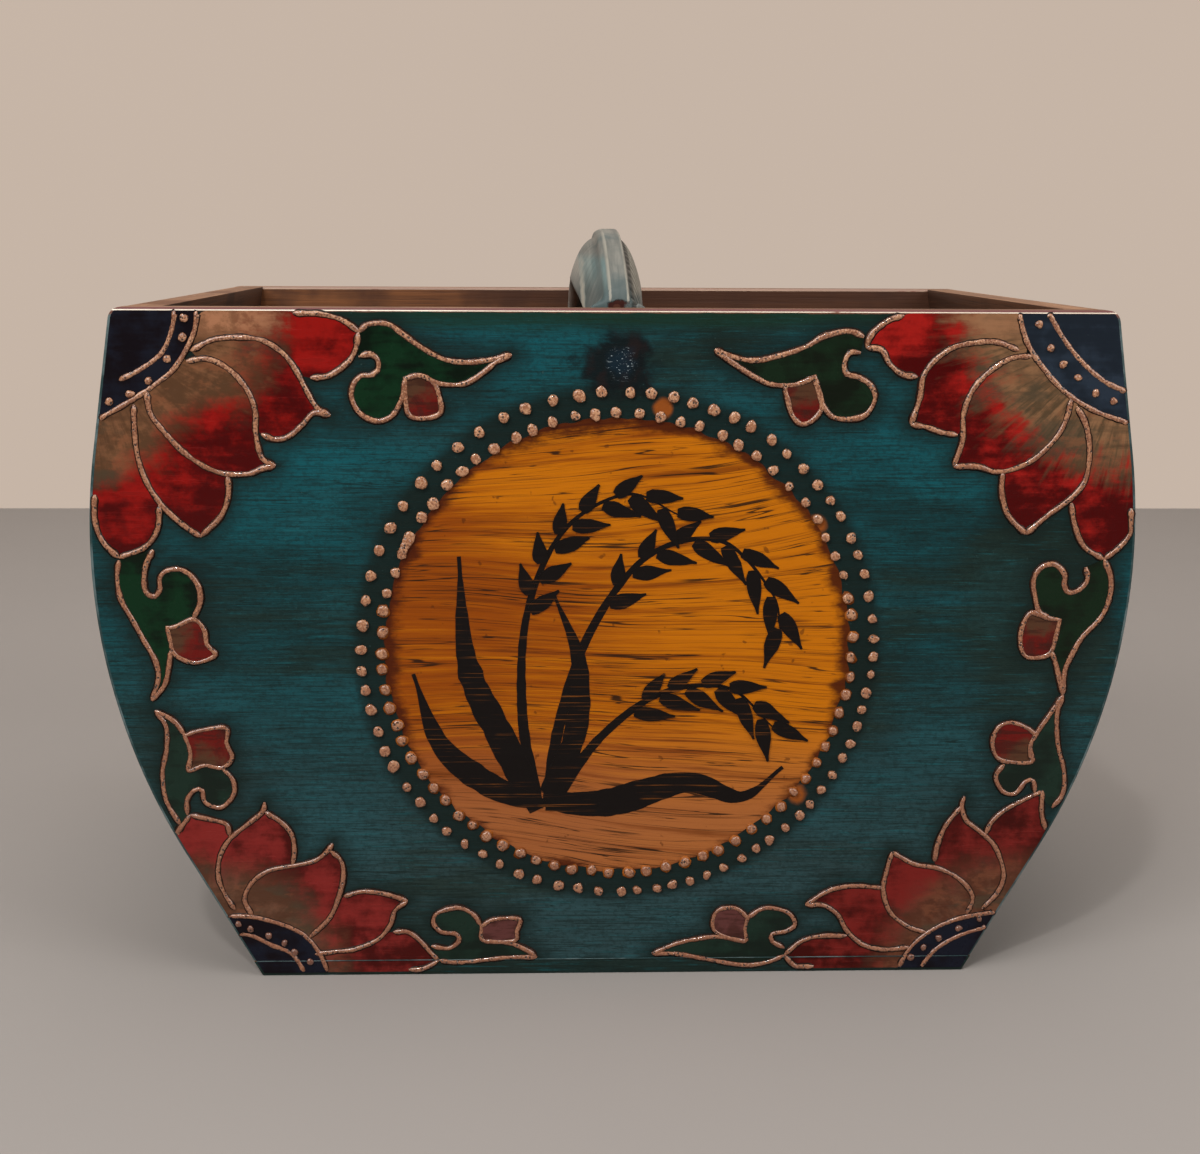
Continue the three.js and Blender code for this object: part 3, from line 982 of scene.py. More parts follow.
@dataclass(frozen=True)
class RubbedPaint:
    """Grey-green paint rubbed thin along the carved handle, chipped by the rim, pale at its worn edges with
    painted highlights; painted light on its left side, right flank and rear leg, and painted shade on its
    hollows, with dirt, and on the leg below the rim.
    """

    name: str = "rubbed_paint"
    body: Colour = (0.11, 0.118, 0.106)
    pale: Colour = (0.2, 0.198, 0.172)
    blue: Colour = (0.06, 0.092, 0.092)
    wood: Colour = (0.034, 0.006, 0.003)
    flank: Colour = (0.1, 0.18, 0.18)
    pale_flank: Colour = (0.2, 0.28, 0.265)
    # painted light: the paler outer left side of the handle
    left_edge: Colour = (0.33, 0.29, 0.245)
    # paler paint of the right flank, lightened further as painted light
    right_flank_painted_light: Colour = (0.35, 0.315, 0.25)
    # dirt, and painted shade in the hollows
    dirt: Colour = (0.018, 0.018, 0.015)
    # pale worn edges, with painted highlights
    ridge: Colour = (0.4, 0.37, 0.3)
    low: Colour = (0.044, 0.068, 0.068)
    # painted shade: the leg below the rim, inside the box
    leg: Colour = (0.11, 0.09, 0.072)
    # painted light: the rear leg's pale face under the arch
    rear_leg_painted_light: Colour = (0.4, 0.33, 0.28)
    chip_heart: Colour = (0.13, 0.045, 0.024)

    def make(self) -> Material:
        """Mixes the paint.

        Returns:
            The material.
        """
        pot = PaintPot(self.name)
        along = pot.noise((320, 16, 16), 5, 0.6, 0.2)
        cloud = pot.noise((45, 30, 45), 4)
        colour = pot.over(self.body, self.pale, along, 0.36, 0.64)
        colour = pot.over(colour, self.blue, cloud, 0.5, 0.66, 0.7)
        left_flank = pot.times(
            pot.window(pot.axis("X"), -0.003, -0.0042), pot.window(pot.axis("Z"), 0.2835, 0.279))
        colour = pot.mix(
            pot.times(left_flank, 0.75), colour, pot.over(self.flank, self.pale_flank, along, 0.36, 0.64))
        # Painted light: the handle's outer left side made paler.
        colour = pot.over(colour, self.left_edge, pot.axis("X"), -0.0123, -0.0132, 0.75)
        # Paler paint on the right flank, lightened further as painted light against its shading.
        right_flank_painted_light = pot.times(
            pot.window(pot.axis("X"), 0.0052, 0.0064), pot.window(pot.axis("Z"), 0.265, 0.269))
        colour = pot.mix(pot.times(right_flank_painted_light, 0.75), colour, self.right_flank_painted_light)
        # Dirt and painted shade: the carved veins and the foot of the band darkened.
        colour = pot.mix(pot.times(pot.stored("hollow"), 0.85), colour, self.dirt)
        # Painted highlights on pale worn edges: the band's edges and the leg's left crease.
        colour = pot.mix(pot.times(pot.stored("ridge"), pot.window(cloud, 0.25, 0.5)), colour, self.ridge)
        low = pot.times(pot.window(pot.axis("Z"), 0.278, 0.266), pot.window(pot.axis("X"), 0.0066, 0.005))
        low = pot.times(low, pot.window(pot.stored("ridge"), 0.35, 0.1))
        colour = pot.mix(pot.times(low, 0.85), colour, self.low)
        # Painted shade: the leg darker and browner below the rim, inside the box.
        inside = pot.window(pot.axis("Z"), 0.25, 0.236, 0, 0.75)
        colour = pot.mix(inside, colour, self.leg)
        # Painted light: the rear leg's face under the arch painted pale, where it lies in shade.
        behind = pot.times(pot.window(pot.axis("Y"), 0.03, 0.07), pot.window(pot.axis("Z"), 0.244, 0.262))
        behind = pot.times(behind, pot.window(pot.axis("X"), -0.0095, -0.0125))
        colour = pot.mix(pot.times(behind, 0.9), colour, self.rear_leg_painted_light)
        ragged = pot.swing(pot.noise(330, 4), 7)
        chip = pot.add(pot.reach(-0.2, 262.9, 1.0, 0.66), ragged)
        chip = pot.add(chip, pot.window(pot.axis("Y"), -0.118, -0.112, 0, 40))
        colour = pot.over(colour, self.wood, chip, 4.6, 3.4)
        colour = pot.over(colour, self.chip_heart, chip, 1.7, 0.7, 0.4)
        relief = pot.add(along, pot.times(pot.window(chip, 3.4, 4.8), 2.0))
        rough = pot.math("MAXIMUM", pot.window(cloud, 0.3, 0.7, 0.42, 0.6), pot.window(chip, 4.6, 3.4))
        return pot.finish(colour, rough, relief, 0.2, gloss=0.35)


@dataclass(frozen=True)
class Bamboo:
    """A split bamboo pin: straw-brown, with fine fibres along its length."""

    name: str = "bamboo_pin"
    dark: Colour = (0.12, 0.06, 0.022)
    straw: Colour = (0.3, 0.18, 0.08)

    def make(self) -> Material:
        """Mixes the bamboo's colours.

        Returns:
            The material.
        """
        pot = PaintPot(self.name)
        fibre = pot.noise((2600, 60, 2600), 3)
        colour = pot.over(self.dark, self.straw, fibre, 0.36, 0.64)
        return pot.finish(colour, pot.window(fibre, 0.3, 0.7, 0.5, 0.7), fibre, 0.1, gloss=0.35)


@dataclass(frozen=True)
class HandIron:
    """A hand-made iron nail, brown with old rust."""

    name: str = "hand_iron"
    iron: Colour = (0.06, 0.052, 0.048)
    rust: Colour = (0.11, 0.038, 0.016)

    def make(self) -> Material:
        """Mixes the iron's colours.

        Returns:
            The material.
        """
        pot = PaintPot(self.name)
        rust = pot.noise(900, 5, 0.65)
        colour = pot.over(self.iron, self.rust, rust, 0.4, 0.6)
        return pot.finish(colour, pot.window(rust, 0.35, 0.65, 0.42, 0.82), rust, 0.15, gloss=0.5, metal=0.6)


@dataclass(frozen=True)
class Ground:
    """A plain matt ground for the floor or the wall."""

    name: str
    colour: Colour
    other: Colour
    even: bool = False

    def make(self) -> Material:
        """Mixes the ground's colours, and lets an even one show them whatever light falls on it.

        Returns:
            The material.
        """
        pot = PaintPot(self.name)
        colour = pot.mix(pot.noise(3, 4), self.colour, self.other)
        made = pot.finish(colour, 0.8, gloss=0.2)
        if self.even:
            ray = pot.node("LightPath")
            seen = pot.math("ADD", pot.add(ray.outputs["Is Camera Ray"], ray.outputs["Is Glossy Ray"]),
                            ray.outputs["Is Transmission Ray"], clamp=True)
            shown = pot.node("Emission", {"Color": colour})
            mixed = pot.node("MixShader", {0: seen, 1: pot.shader.outputs[0], 2: shown.outputs[0]})
            pot.feed(pot.tree.nodes["Material Output"].inputs["Surface"], mixed.outputs[0])
        return made


# The outline that every board and stave follows


@dataclass(frozen=True)
class Outline:
    """The measure seen from its front: two straight tapers joined by a bulge, in millimetres."""

    width: float = 400.0
    rim: float = 263.0
    depth: float = 275.0
    bulge_radius: float = 246.0
    bulge_height: float = 171.5
    tuck: float = math.radians(8.7)
    taper: float = -math.radians(29.3)
    corner: float = 4.0
    foot: float = 6.3

    def point(self, along: float, inset: float = 0.0) -> Flat:
        """The point at a distance along the outline from its widest place, moved in by an inset.

        Args:
            along: the distance from the widest place.
            inset: how far inside.

        Returns:
            The point.
        """
        on_arc = min(max(along, self.bulge_radius * self.taper), self.bulge_radius * self.tuck)
        angle, past = on_arc / self.bulge_radius, along - on_arc
        radius = self.bulge_radius - inset
        return (self.width / 2 - self.bulge_radius + radius * math.cos(angle) - past * math.sin(angle),
                self.bulge_height + radius * math.sin(angle) + past * math.cos(angle))

    def along_at(self, height: float, inset: float, angle: float) -> float:
        """The distance along the outline where its inset copy reaches a height on a straight end."""
        arc_end = self.bulge_height + (self.bulge_radius - inset) * math.sin(angle)
        return self.bulge_radius * angle + (height - arc_end) / math.cos(angle)

    def half_width(self, height: float) -> float:
        """Half the width at a height, with the rounded upper corners left square.

        Args:
            height: the height.

        Returns:
            The half width.
        """
        low, high = (self.bulge_height + self.bulge_radius * math.sin(a) for a in (self.taper, self.tuck))
        if height < low:
            return self.point(self.along_at(height, 0, self.taper))[0]
        if height > high:
            return self.point(self.along_at(height, 0, self.tuck))[0]
        rise = height - self.bulge_height
        return self.width / 2 - self.bulge_radius + math.sqrt(self.bulge_radius**2 - rise**2)

    def board_half_width(self, height: float) -> float:
        """Half the width of an end board at a height, with its upper corners rounded.

        Args:
            height: the height.

        Returns:
            The half width.
        """
        from_top = self.corner - (self.rim - height)
        cut = self.corner - math.sqrt(max(0.0, self.corner**2 - from_top**2)) if from_top > 0 else 0.0
        return self.half_width(height) - cut

    def inside(self, point: Vector, margin: float = 1.3) -> Vector:
        """A point of a drawing kept off the board's worn edge.

        Args:
            point: the point.
            margin: how far it keeps from the edge.

        Returns:
            The point on the face.
        """
        z = min(max(point.y, margin), self.rim - margin)
        limit = self.board_half_width(z) - margin
        return Vector((min(max(point.x, -limit), limit), z))


OUTLINE = Outline()
FRONT = -OUTLINE.depth / 2


def on_front(point: Vector, proud: float) -> Vector:
    """A drawn point on the front face, standing proud of it, in metres."""
    return Vector((point.x, FRONT - proud, point.y)) * MM


# The woodwork


class End(Enum):
    """The two ends of the measure, by the way that each one faces."""

    FRONT = -1
    BACK = 1


@dataclass
class EndBoard:
    """A shaped end board with worn arrises."""

    end: End
    cell: float = 2.5
    thickness: float = 12.0
    arris: float = 1.2
    nails: tuple[Flat, ...] = ((-6.4, 248.5), (4.6, 239.5))
    pin_hole: float = 2.25
    nail_hole: float = 3.05
    hole_depth: float = 2.0
    piece: Piece = field(init=False, repr=False)

    def levels(self) -> list[tuple[float, float]]:
        """The heights of the rings, each with how far the arris has drawn the faces in there.

        Returns:
            For each ring its height and how far the faces are in.
        """
        square = OUTLINE.rim - OUTLINE.corner
        count = round((square - OUTLINE.foot) / self.cell)
        rows = [(lerp(OUTLINE.foot, square, k / count), 0.0) for k in range(count + 1)]
        rows += [(square + share * (OUTLINE.corner - self.arris), 0.0) for share in (0.4, 0.75, 1.0)]
        rows += [(OUTLINE.rim - self.arris * (1 - math.sin(a)), self.arris * (1 - math.cos(a)))
                 for a in map(math.radians, (30, 60, 90))]
        return rows

    def ring(self, half: float, drawn_in: float) -> list[Flat]:
        """One level cross-section of the board, as x and the depth below its outer face.

        Args:
            half: half the width.
            drawn_in: how far the faces are drawn in.

        Returns:
            The points.
        """
        turn = [self.arris * (1 - math.cos(math.radians(a))) for a in (0, 30, 60, 90)]
        reach = half - self.arris
        count = round(OUTLINE.width / self.cell)
        face = [(lerp(-reach, reach, k / count), drawn_in) for k in range(1, count)]
        inner = [(lerp(reach, -reach, k / 16), self.thickness - drawn_in) for k in range(1, 16)]
        outer_turn = [(reach + self.arris - t, drawn_in + s) for t, s in zip(turn[::-1], turn)]
        inner_turn = [(x, self.thickness - y) for x, y in outer_turn[::-1]]
        left = [(-x, y) for x, y in (outer_turn + inner_turn)[::-1]]
        return face + outer_turn + inner_turn + inner + left

    def build(self) -> Piece:
        """Draws the board up from its foot, ring by ring, with its arrises rounded.

        Returns:
            The board.
        """
        outer = self.end.value * OUTLINE.depth / 2
        rows = [
            [Vector((x, outer - self.end.value * y, z)) * MM
             for x, y in self.ring(OUTLINE.board_half_width(z), drawn_in)] for z, drawn_in in self.levels()]
        self.piece = draw_out(f"{self.end.name.lower()}_end_board", rows)
        shade(self.piece, SHARP)
        return self.piece

    def drill(self) -> None:
        """Cuts the pin holes and the countersunk nail holes that stay open in the back board."""
        outer = self.end.value * OUTLINE.depth / 2
        holes = []
        for x, z, radius in ([(*place, self.pin_hole) for place in pin_places()]
                             + [(*place, self.nail_hole) for place in self.nails]):
            holes.append((Vector((x, outer + self.end.value, z)) * MM,
                          Vector((x, outer - self.end.value * self.hole_depth, z)) * MM, radius * MM))
        cut_holes(self.piece, holes)

    def dress(self, paint: Material, edge: Material, wood: Material, rim: Material) -> None:
        """Paints the outside, leaves the inner face bare, and rubs the arrises, with a painted highlight
        along them.

        Args:
            paint: for the outside.
            edge: for the arrises.
            wood: for the inner face.
            rim: for the top edge.
        """
        dress(self.piece, paint, edge, wood, rim)
        facing = self.end.value
        outer = facing * OUTLINE.depth / 2 * MM
        for face in self.piece.data.polygons:
            normal, depth = face.normal, abs(face.center.y - outer)
            if normal.y * facing > 0.99:
                face.material_index = 0
            elif normal.y * facing < -0.99:
                face.material_index = 2
            elif normal.z > 0.9 and abs(normal.y) < 0.05:
                face.material_index = 3
            elif depth < self.arris * MM or depth > (self.thickness - self.arris) * MM:
                face.material_index = 1
            else:
                face.material_index = 0

    def store_shade(self, ornament: Iterable[Flat], roundel: "Roundel | None") -> None:
        """Stores how dark the paint is beside raised work, from 0 far off to 1 against it: darker paint
        there, and close to the work its painted shadow.

        Args:
            ornament: points of the raised work.
            roundel: the disc in its rings, if any.
        """
        points = list(ornament)
        tree = kdtree.KDTree(max(1, len(points)))
        for k, (x, z) in enumerate(points):
            tree.insert((x, 0, z), k)
        tree.balance()
        stored = self.piece.data.attributes.new("shade", "FLOAT", "POINT")
        outer = self.end.value * OUTLINE.depth / 2 * MM
        for k, vert in enumerate(self.piece.data.vertices):
            if not points or abs(vert.co.y - outer) > 1e-5:
                continue
            x, z = vert.co.x / MM, vert.co.z / MM
            gap = tree.find((x, 0, z))[2]
            shade_here = 1 - 0.35 * ease(1.0, 2.8, gap) - 0.65 * ease(2.0, 9.5, gap)
            if roundel:
                shade_here = max(shade_here, roundel.shade_at(x, z))
            stored.data[k].value = shade_here


def stave_ends(k: int, inset: float) -> tuple[float, float]:
    """Where stave k, counted from the foot, starts and ends along the outline.

    Args:
        k: the stave.
        inset: how far its face lies inside the outline.

    Returns:
        The two distances along the outline.
    """
    low, high = OUTLINE.bulge_radius * OUTLINE.taper, OUTLINE.bulge_radius * OUTLINE.tuck
    joints = [lerp(low, high, j / (STAVES - 2)) for j in range(STAVES - 1)]
    start = OUTLINE.along_at(OUTLINE.foot, inset, OUTLINE.taper) if k == 0 else joints[k - 1] + STAVE_GAP / 2
    end = OUTLINE.along_at(OUTLINE.rim, inset, OUTLINE.tuck) if k == STAVES - 1 else joints[k] - STAVE_GAP / 2
    return start, end


def pin_places() -> list[Flat]:
    """The places of the bamboo pins on an end board."""
    middles = [OUTLINE.point(sum(stave_ends(k, PIN_INSET)) / 2, PIN_INSET) for k in range(STAVES)]
    return [(side * x, z) for side in (-1, 1) for x, z in middles]


@dataclass
class StaveSide:
    """One side wall: five boards stacked edge to edge, curved to the outline."""

    side: int
    inset: float = 4.0
    thickness: float = 13.0
    length: float = 250.4
    facets: int = 10
    uneven: float = 0.12
    arris: float = 0.5

    def build(self, paint: Material, wood: Material, rim: Material) -> None:
        """Cuts, rounds and dresses the five boards.

        Args:
            paint: for the outside.
            wood: for the inside.
            rim: for the top edge.
        """
        name = "right" if self.side > 0 else "left"
        unevenness = random.Random(17 + self.side)
        for k in range(STAVES):
            shift = unevenness.uniform(-self.uneven, self.uneven)
            loop = []
            for inset, backwards in ((self.inset + shift, False), (self.inset + self.thickness, True)):
                start, end = stave_ends(k, inset)
                marks = [
                    OUTLINE.point(lerp(start, end, j / self.facets), inset) for j in range(self.facets + 1)]
                loop += marks[::-1] if backwards else marks
            ring = [Vector((self.side * x, -self.length / 2, z)) * MM for x, z in loop]
            piece = cut_sheet(f"{name}_side_board_{k + 1}", ring, Vector((0, self.length * MM, 0)))
            soften(piece, self.arris)
            shade(piece, SHARP)
            dress(piece, paint, wood, rim)
            for face in piece.data.polygons:
                outward = face.normal.x * self.side
                if face.normal.z > 0.9 and k == STAVES - 1:
                    face.material_index = 2
                elif outward < 0.35 or abs(face.normal.y) > 0.7:
                    face.material_index = 1
            fit(piece, "plain_lacquer", f"{name}_stave_{k + 1}")


@dataclass
class BaseBoard:
    """The thin board nailed under the walls, its two ends cut to the taper."""

    thickness: float = 6.0
    arris: float = 0.35
    nail_hole: float = 3.05
    hole_depth: float = 1.65

    def build(self, paint: Material, wood: Material) -> None:
        """Adds a cube, spreads its top to the taper, softens its edges and countersinks the nails.

        Args:
            paint: for the outside.
            wood: for the upper face.
        """
        clear_bench()
        bpy.ops.mesh.primitive_cube_add(size=1.0, location=(0, 0, self.thickness / 2 * MM), scale=(
            2 * OUTLINE.half_width(0) * MM, OUTLINE.depth * MM, self.thickness * MM))
        piece = fresh("base")
        spread = OUTLINE.half_width(self.thickness) / OUTLINE.half_width(0)
        with Carving(piece) as work:
            work.faces(lambda f: f.normal.z > 0.9)
            bpy.ops.transform.resize(value=(spread, 1, 1), center_override=(0, 0, 0))
        soften(piece, self.arris)
        holes = []
        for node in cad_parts:
            if node.startswith("base_") and "nail" in node:
                low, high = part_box(node)
                x, y = (low.x + high.x) / 2, (low.y + high.y) / 2
                holes.append((Vector((x, y, -MM)), Vector((x, y, self.hole_depth * MM)), self.nail_hole * MM))
        cut_holes(piece, holes)
        shade(piece, SHARP)
        dress(piece, paint, wood)
        for face in piece.data.polygons:
            face.material_index = int(face.normal.z > 0.9)
        fit(piece, "plain_lacquer", "base_board")


@dataclass
class CarvedHandle:
    """The handle: two legs inside the end boards and an arched crown with a raised band."""

    rise: float = 29.7
    shoulder_rise: float = 5.5
    shoulder_radius: float = 8.0
    crown_thickness: float = 26.0
    crown_width: float = 30.4
    offset: float = -0.9
    arch_radius: float = 13.0
    leg_outer: float = 125.2
    leg_thickness: float = 12.0
    leg_width: float = 24.4
    leg_foot_width: float = 32.0
    leg_length: float = 55.0
    rounded_end: float = 12.0
    band_left: float = 4.2
    band_right: float = 5.2
    band_raise: float = 4.0
    band_flare: float = 1.8
    facet: float = 2.5
    steps: tuple[int, int, int] = (9, 8, 40)
    vein_pitch: float = 8.0
    vein_slant: float = 1.5
    vein_depth: float = 0.8
    vein_right: float = 1.6
    vein_left: float = 0.15

    def side_line(self, face: float, crown: float, corner: float, sag_centre: float) -> list[Vector]:
        """Half of the handle seen from its side, from the leg's end to the top, as depth and height.

        Args:
            face: how far out the leg's face is.
            crown: the arch's radius.
            corner: the bend's radius.
            sag_centre: the height of the arch's centre.

        Returns:
            The points.
        """
        depth = face - corner
        height = sag_centre + math.sqrt((crown - corner) ** 2 - depth**2)
        turn = math.atan2(height - sag_centre, depth)
        leg, bend, arch = self.steps
        foot = OUTLINE.rim - self.leg_length
        line = [Vector((face, lerp(foot, height, k / leg))) for k in range(leg)]
        line += [Vector((depth + corner * math.cos(a), height + corner * math.sin(a)))
                 for a in (turn * k / bend for k in range(bend))]
        line += [Vector((crown * math.cos(a), sag_centre + crown * math.sin(a)))
                 for a in (lerp(turn, math.pi / 2, k / arch) for k in range(arch + 1))]
        return line

    def section(self, end: int, station: int, thickness: float) -> list[Flat]:
        """The ring at a station of an end's half: distance from the middle and depth below the outer line.

        Args:
            end: -1 at the front, 1 at the back.
            station: the ring's number from the foot.
            thickness: the bar's thickness there.

        Returns:
            The points.
        """
        leg, bend, arch = self.steps
        share = min(1.0, station / leg)
        into_end = max(0.0, 1 - share * self.leg_length / self.rounded_end)
        leg_width = lerp(self.leg_foot_width, self.leg_width, share) * math.sqrt(1 - 0.8 * into_end**2)
        carved = ease(leg, leg + bend, station)
        middle = lerp(leg_width, self.crown_width, ease(leg, leg + bend + arch, station)) / 2
        narrower = (2.0 if end < 0 else -1.6) * (1 - ease(leg + 2 * bend, leg + bend + 30, station))
        ring: list[Flat] = []
        for side, edge, facet, fall in (
                (1, self.band_right, 0.6, 0.6), (-1, self.band_left, self.facet, 1.1)):
            half = middle if side > 0 else middle - narrower
            top = edge - lerp(0.8, facet, carved)
            foot = edge + self.band_flare * lerp(1.0, 0.45, carved)
            around = lerp(1.5, 4.0, carved)
            down = lerp(1.5, thickness - 4.0, carved)
            bend_x, bend_y = half - 3.8 * carved, 6.0 * carved
            points = [(top * t, 0.0) for t in (0.25, 0.6, 0.92)]
            points += [(lerp(top, edge, t), fall * carved * t) for t in (0.12, 0.85)]
            points += [(edge + 0.35, (fall + 0.6) * carved), (foot - 0.2, self.band_raise * carved)]
            for t in (0.06, 0.2, 0.4, 0.6, 0.8, 0.97):
                points.append(
                    ((1 - t) ** 2 * foot + 2 * t * (1 - t) * bend_x + t * t * half,
                     (1 - t) ** 2 * self.band_raise * carved + 2 * t * (1 - t) * bend_y + t * t * down))
            points.append((half, lerp(down, thickness - around, 0.5)))
            points += [(half, thickness - around), (half - around * 0.3, thickness - around * 0.3),
                       (half - around, thickness), ((half - around) * 0.5, thickness)]
            ring += [(side * x, y) for x, y in (points if side > 0 else points[::-1])]
        return ring

    def build(self) -> Piece:
        """Draws the bar out, smooths it, carves the shoulders and stores its ridges and hollows.

        Returns:
            The handle.
        """
        sag = self.rise - self.shoulder_rise
        crown = (self.leg_outer**2 + sag**2) / (2 * sag)
        centre = OUTLINE.rim + self.rise - crown
        outer = self.side_line(self.leg_outer, crown, self.shoulder_radius, centre)
        inner = self.side_line(
            self.leg_outer - self.leg_thickness, crown - self.crown_thickness, self.arch_radius, centre)
        halves = []
        for end in (-1, 1):
            rows = []
            for station, (out, within) in enumerate(zip(outer, inner)):
                inward = within - out
                thickness = inward.length
                rows.append([Vector((x + self.offset, end * (out + inward * (y / thickness)).x,
                                     (out + inward * (y / thickness)).y)) * MM
                             for x, y in self.section(end, station, thickness)])
            halves.append(rows)
        rows = halves[0] + halves[1][-2::-1]
        piece = draw_out("carved_handle", rows)
        apply_modifier(piece, "SUBSURF", levels=1, render_levels=1, boundary_smooth="PRESERVE_CORNERS")
        self.carve(piece, centre)
        shade(piece)
        return piece

    def carve(self, piece: Piece, centre: float) -> None:
        """Cuts slanting leaf veins into the shoulders, and stores ridges worn pale and given painted
        highlights, and hollows with dirt and painted shade.

        Args:
            piece: the handle.
            centre: the height of the arch's centre.
        """
        ridge = piece.data.attributes.new("ridge", "FLOAT", "POINT")
        hollow = piece.data.attributes.new("hollow", "FLOAT", "POINT")
        left, right = self.offset - self.band_left, self.offset + self.band_right
        normals = [v.normal.copy() for v in piece.data.vertices]
        for k, vert in enumerate(piece.data.vertices):
            x, y, z = (c / MM for c in vert.co)
            on_top = ease(0.05, 0.45, normals[k].z) * ease(OUTLINE.rim - 1, OUTLINE.rim + 4, z)
            top = centre + math.sqrt(max(0.0, (OUTLINE.rim + self.rise - centre) ** 2 - y * y))
            below = top - z
            out = x - right if x > right + 0.6 else (left - 0.6 - x if x < left - 0.6 else 0.0)
            upper = 1 - ease(15.0, 20.0, below)
            if out > 0 and upper > 0 and z > OUTLINE.rim - 4:
                lean = abs(y) + out * self.vein_slant
                vein = 0.5 + 0.5 * math.cos(lean * 2 * math.pi / self.vein_pitch)
                groove = ease(0.7, 1.0, vein) * ease(0.4, 2.0, out) * upper
                groove *= self.vein_right if x > 0 else self.vein_left
                vert.co -= normals[k] * self.vein_depth * groove * MM
                # Dirt and painted shade in the cut veins.
                hollow.data[k].value = min(1.0, 1.8 * groove)
            # Painted shadow at the foot of the raised band, full on its right side, under half on its left.
            foot_gap = abs(x - right - 1.5) - 0.6 if x > 0 else abs(x - left + 1.2)
            hollow.data[k].value = max(
                hollow.data[k].value, on_top * (1 - ease(0.3, 1.1, foot_gap)) * (1.0 if x > 0 else 0.45))
            # Painted highlights on worn edges: the band's edges and the near leg's left crease.
            lit = min(abs(x - right + 0.3), abs(x - left - self.facet + 0.2))
            crease = abs(x + 12.0) if y < 0 and z < OUTLINE.rim + 17 else 9.0
            ridge.data[k].value = max(on_top * (1 - ease(0.2, 0.7, lit)) * 0.6, 1 - ease(0.3, 0.9, crease))


# The painted and piped ornament


class Field(Enum):
    """What a glazed field of the ornament is, with the layer that it lies in."""

    PETAL_UNDER = 0
    PETAL_BETWEEN = 1
    PETAL_OVER = 2
    LEAF = 3
    BUD = 4
    QUARTER = 5


Strokes = dict[str, list[Flat]]

# Each field as its strokes in order; a minus means drawn backwards
SHARED_PETALS: list[tuple[Field, str]] = [
    (Field.PETAL_OVER, "petal_3_top -petal_3_low petal_3_root"),
    (Field.PETAL_BETWEEN, "petal_4_top -petal_4_low petal_4_root"),
    (Field.PETAL_UNDER, "petal_5_top -petal_5_low petal_5_root"),
]
SHARED_QUARTER = (Field.QUARTER, "quarter_out quarter_corner")
UPPER_FIELDS: list[tuple[Field, str]] = [
    (Field.PETAL_UNDER, "petal_1_root petal_1_top -petal_1_low"),
    (Field.PETAL_BETWEEN, "petal_2_top -petal_2_low"),
    *SHARED_PETALS,
    (Field.LEAF, "leaf_top -leaf_low -leaf_curl"),
    (Field.BUD, "leaf_bud"),
    (Field.LEAF, "scroll_out scroll_tip scroll_join -scroll_curl"),
    (Field.BUD, "scroll_bud"),
    SHARED_QUARTER,
]
LOWER_FIELDS: list[tuple[Field, str]] = [
    (Field.PETAL_UNDER, "petal_1_top -petal_1_low petal_1_root"),
    (Field.PETAL_BETWEEN, "petal_2_top -petal_2_low petal_2_root"),
    *SHARED_PETALS,
    (Field.LEAF, "-leaf_out leaf_in leaf_join leaf_curl"),
    (Field.BUD, "leaf_bud"),
    (Field.LEAF, "low_curl low_join low_top low_under"),
    (Field.BUD, "low_bud"),
    SHARED_QUARTER,
]
UNDRAWN = ("root", "join", "corner", "dots")

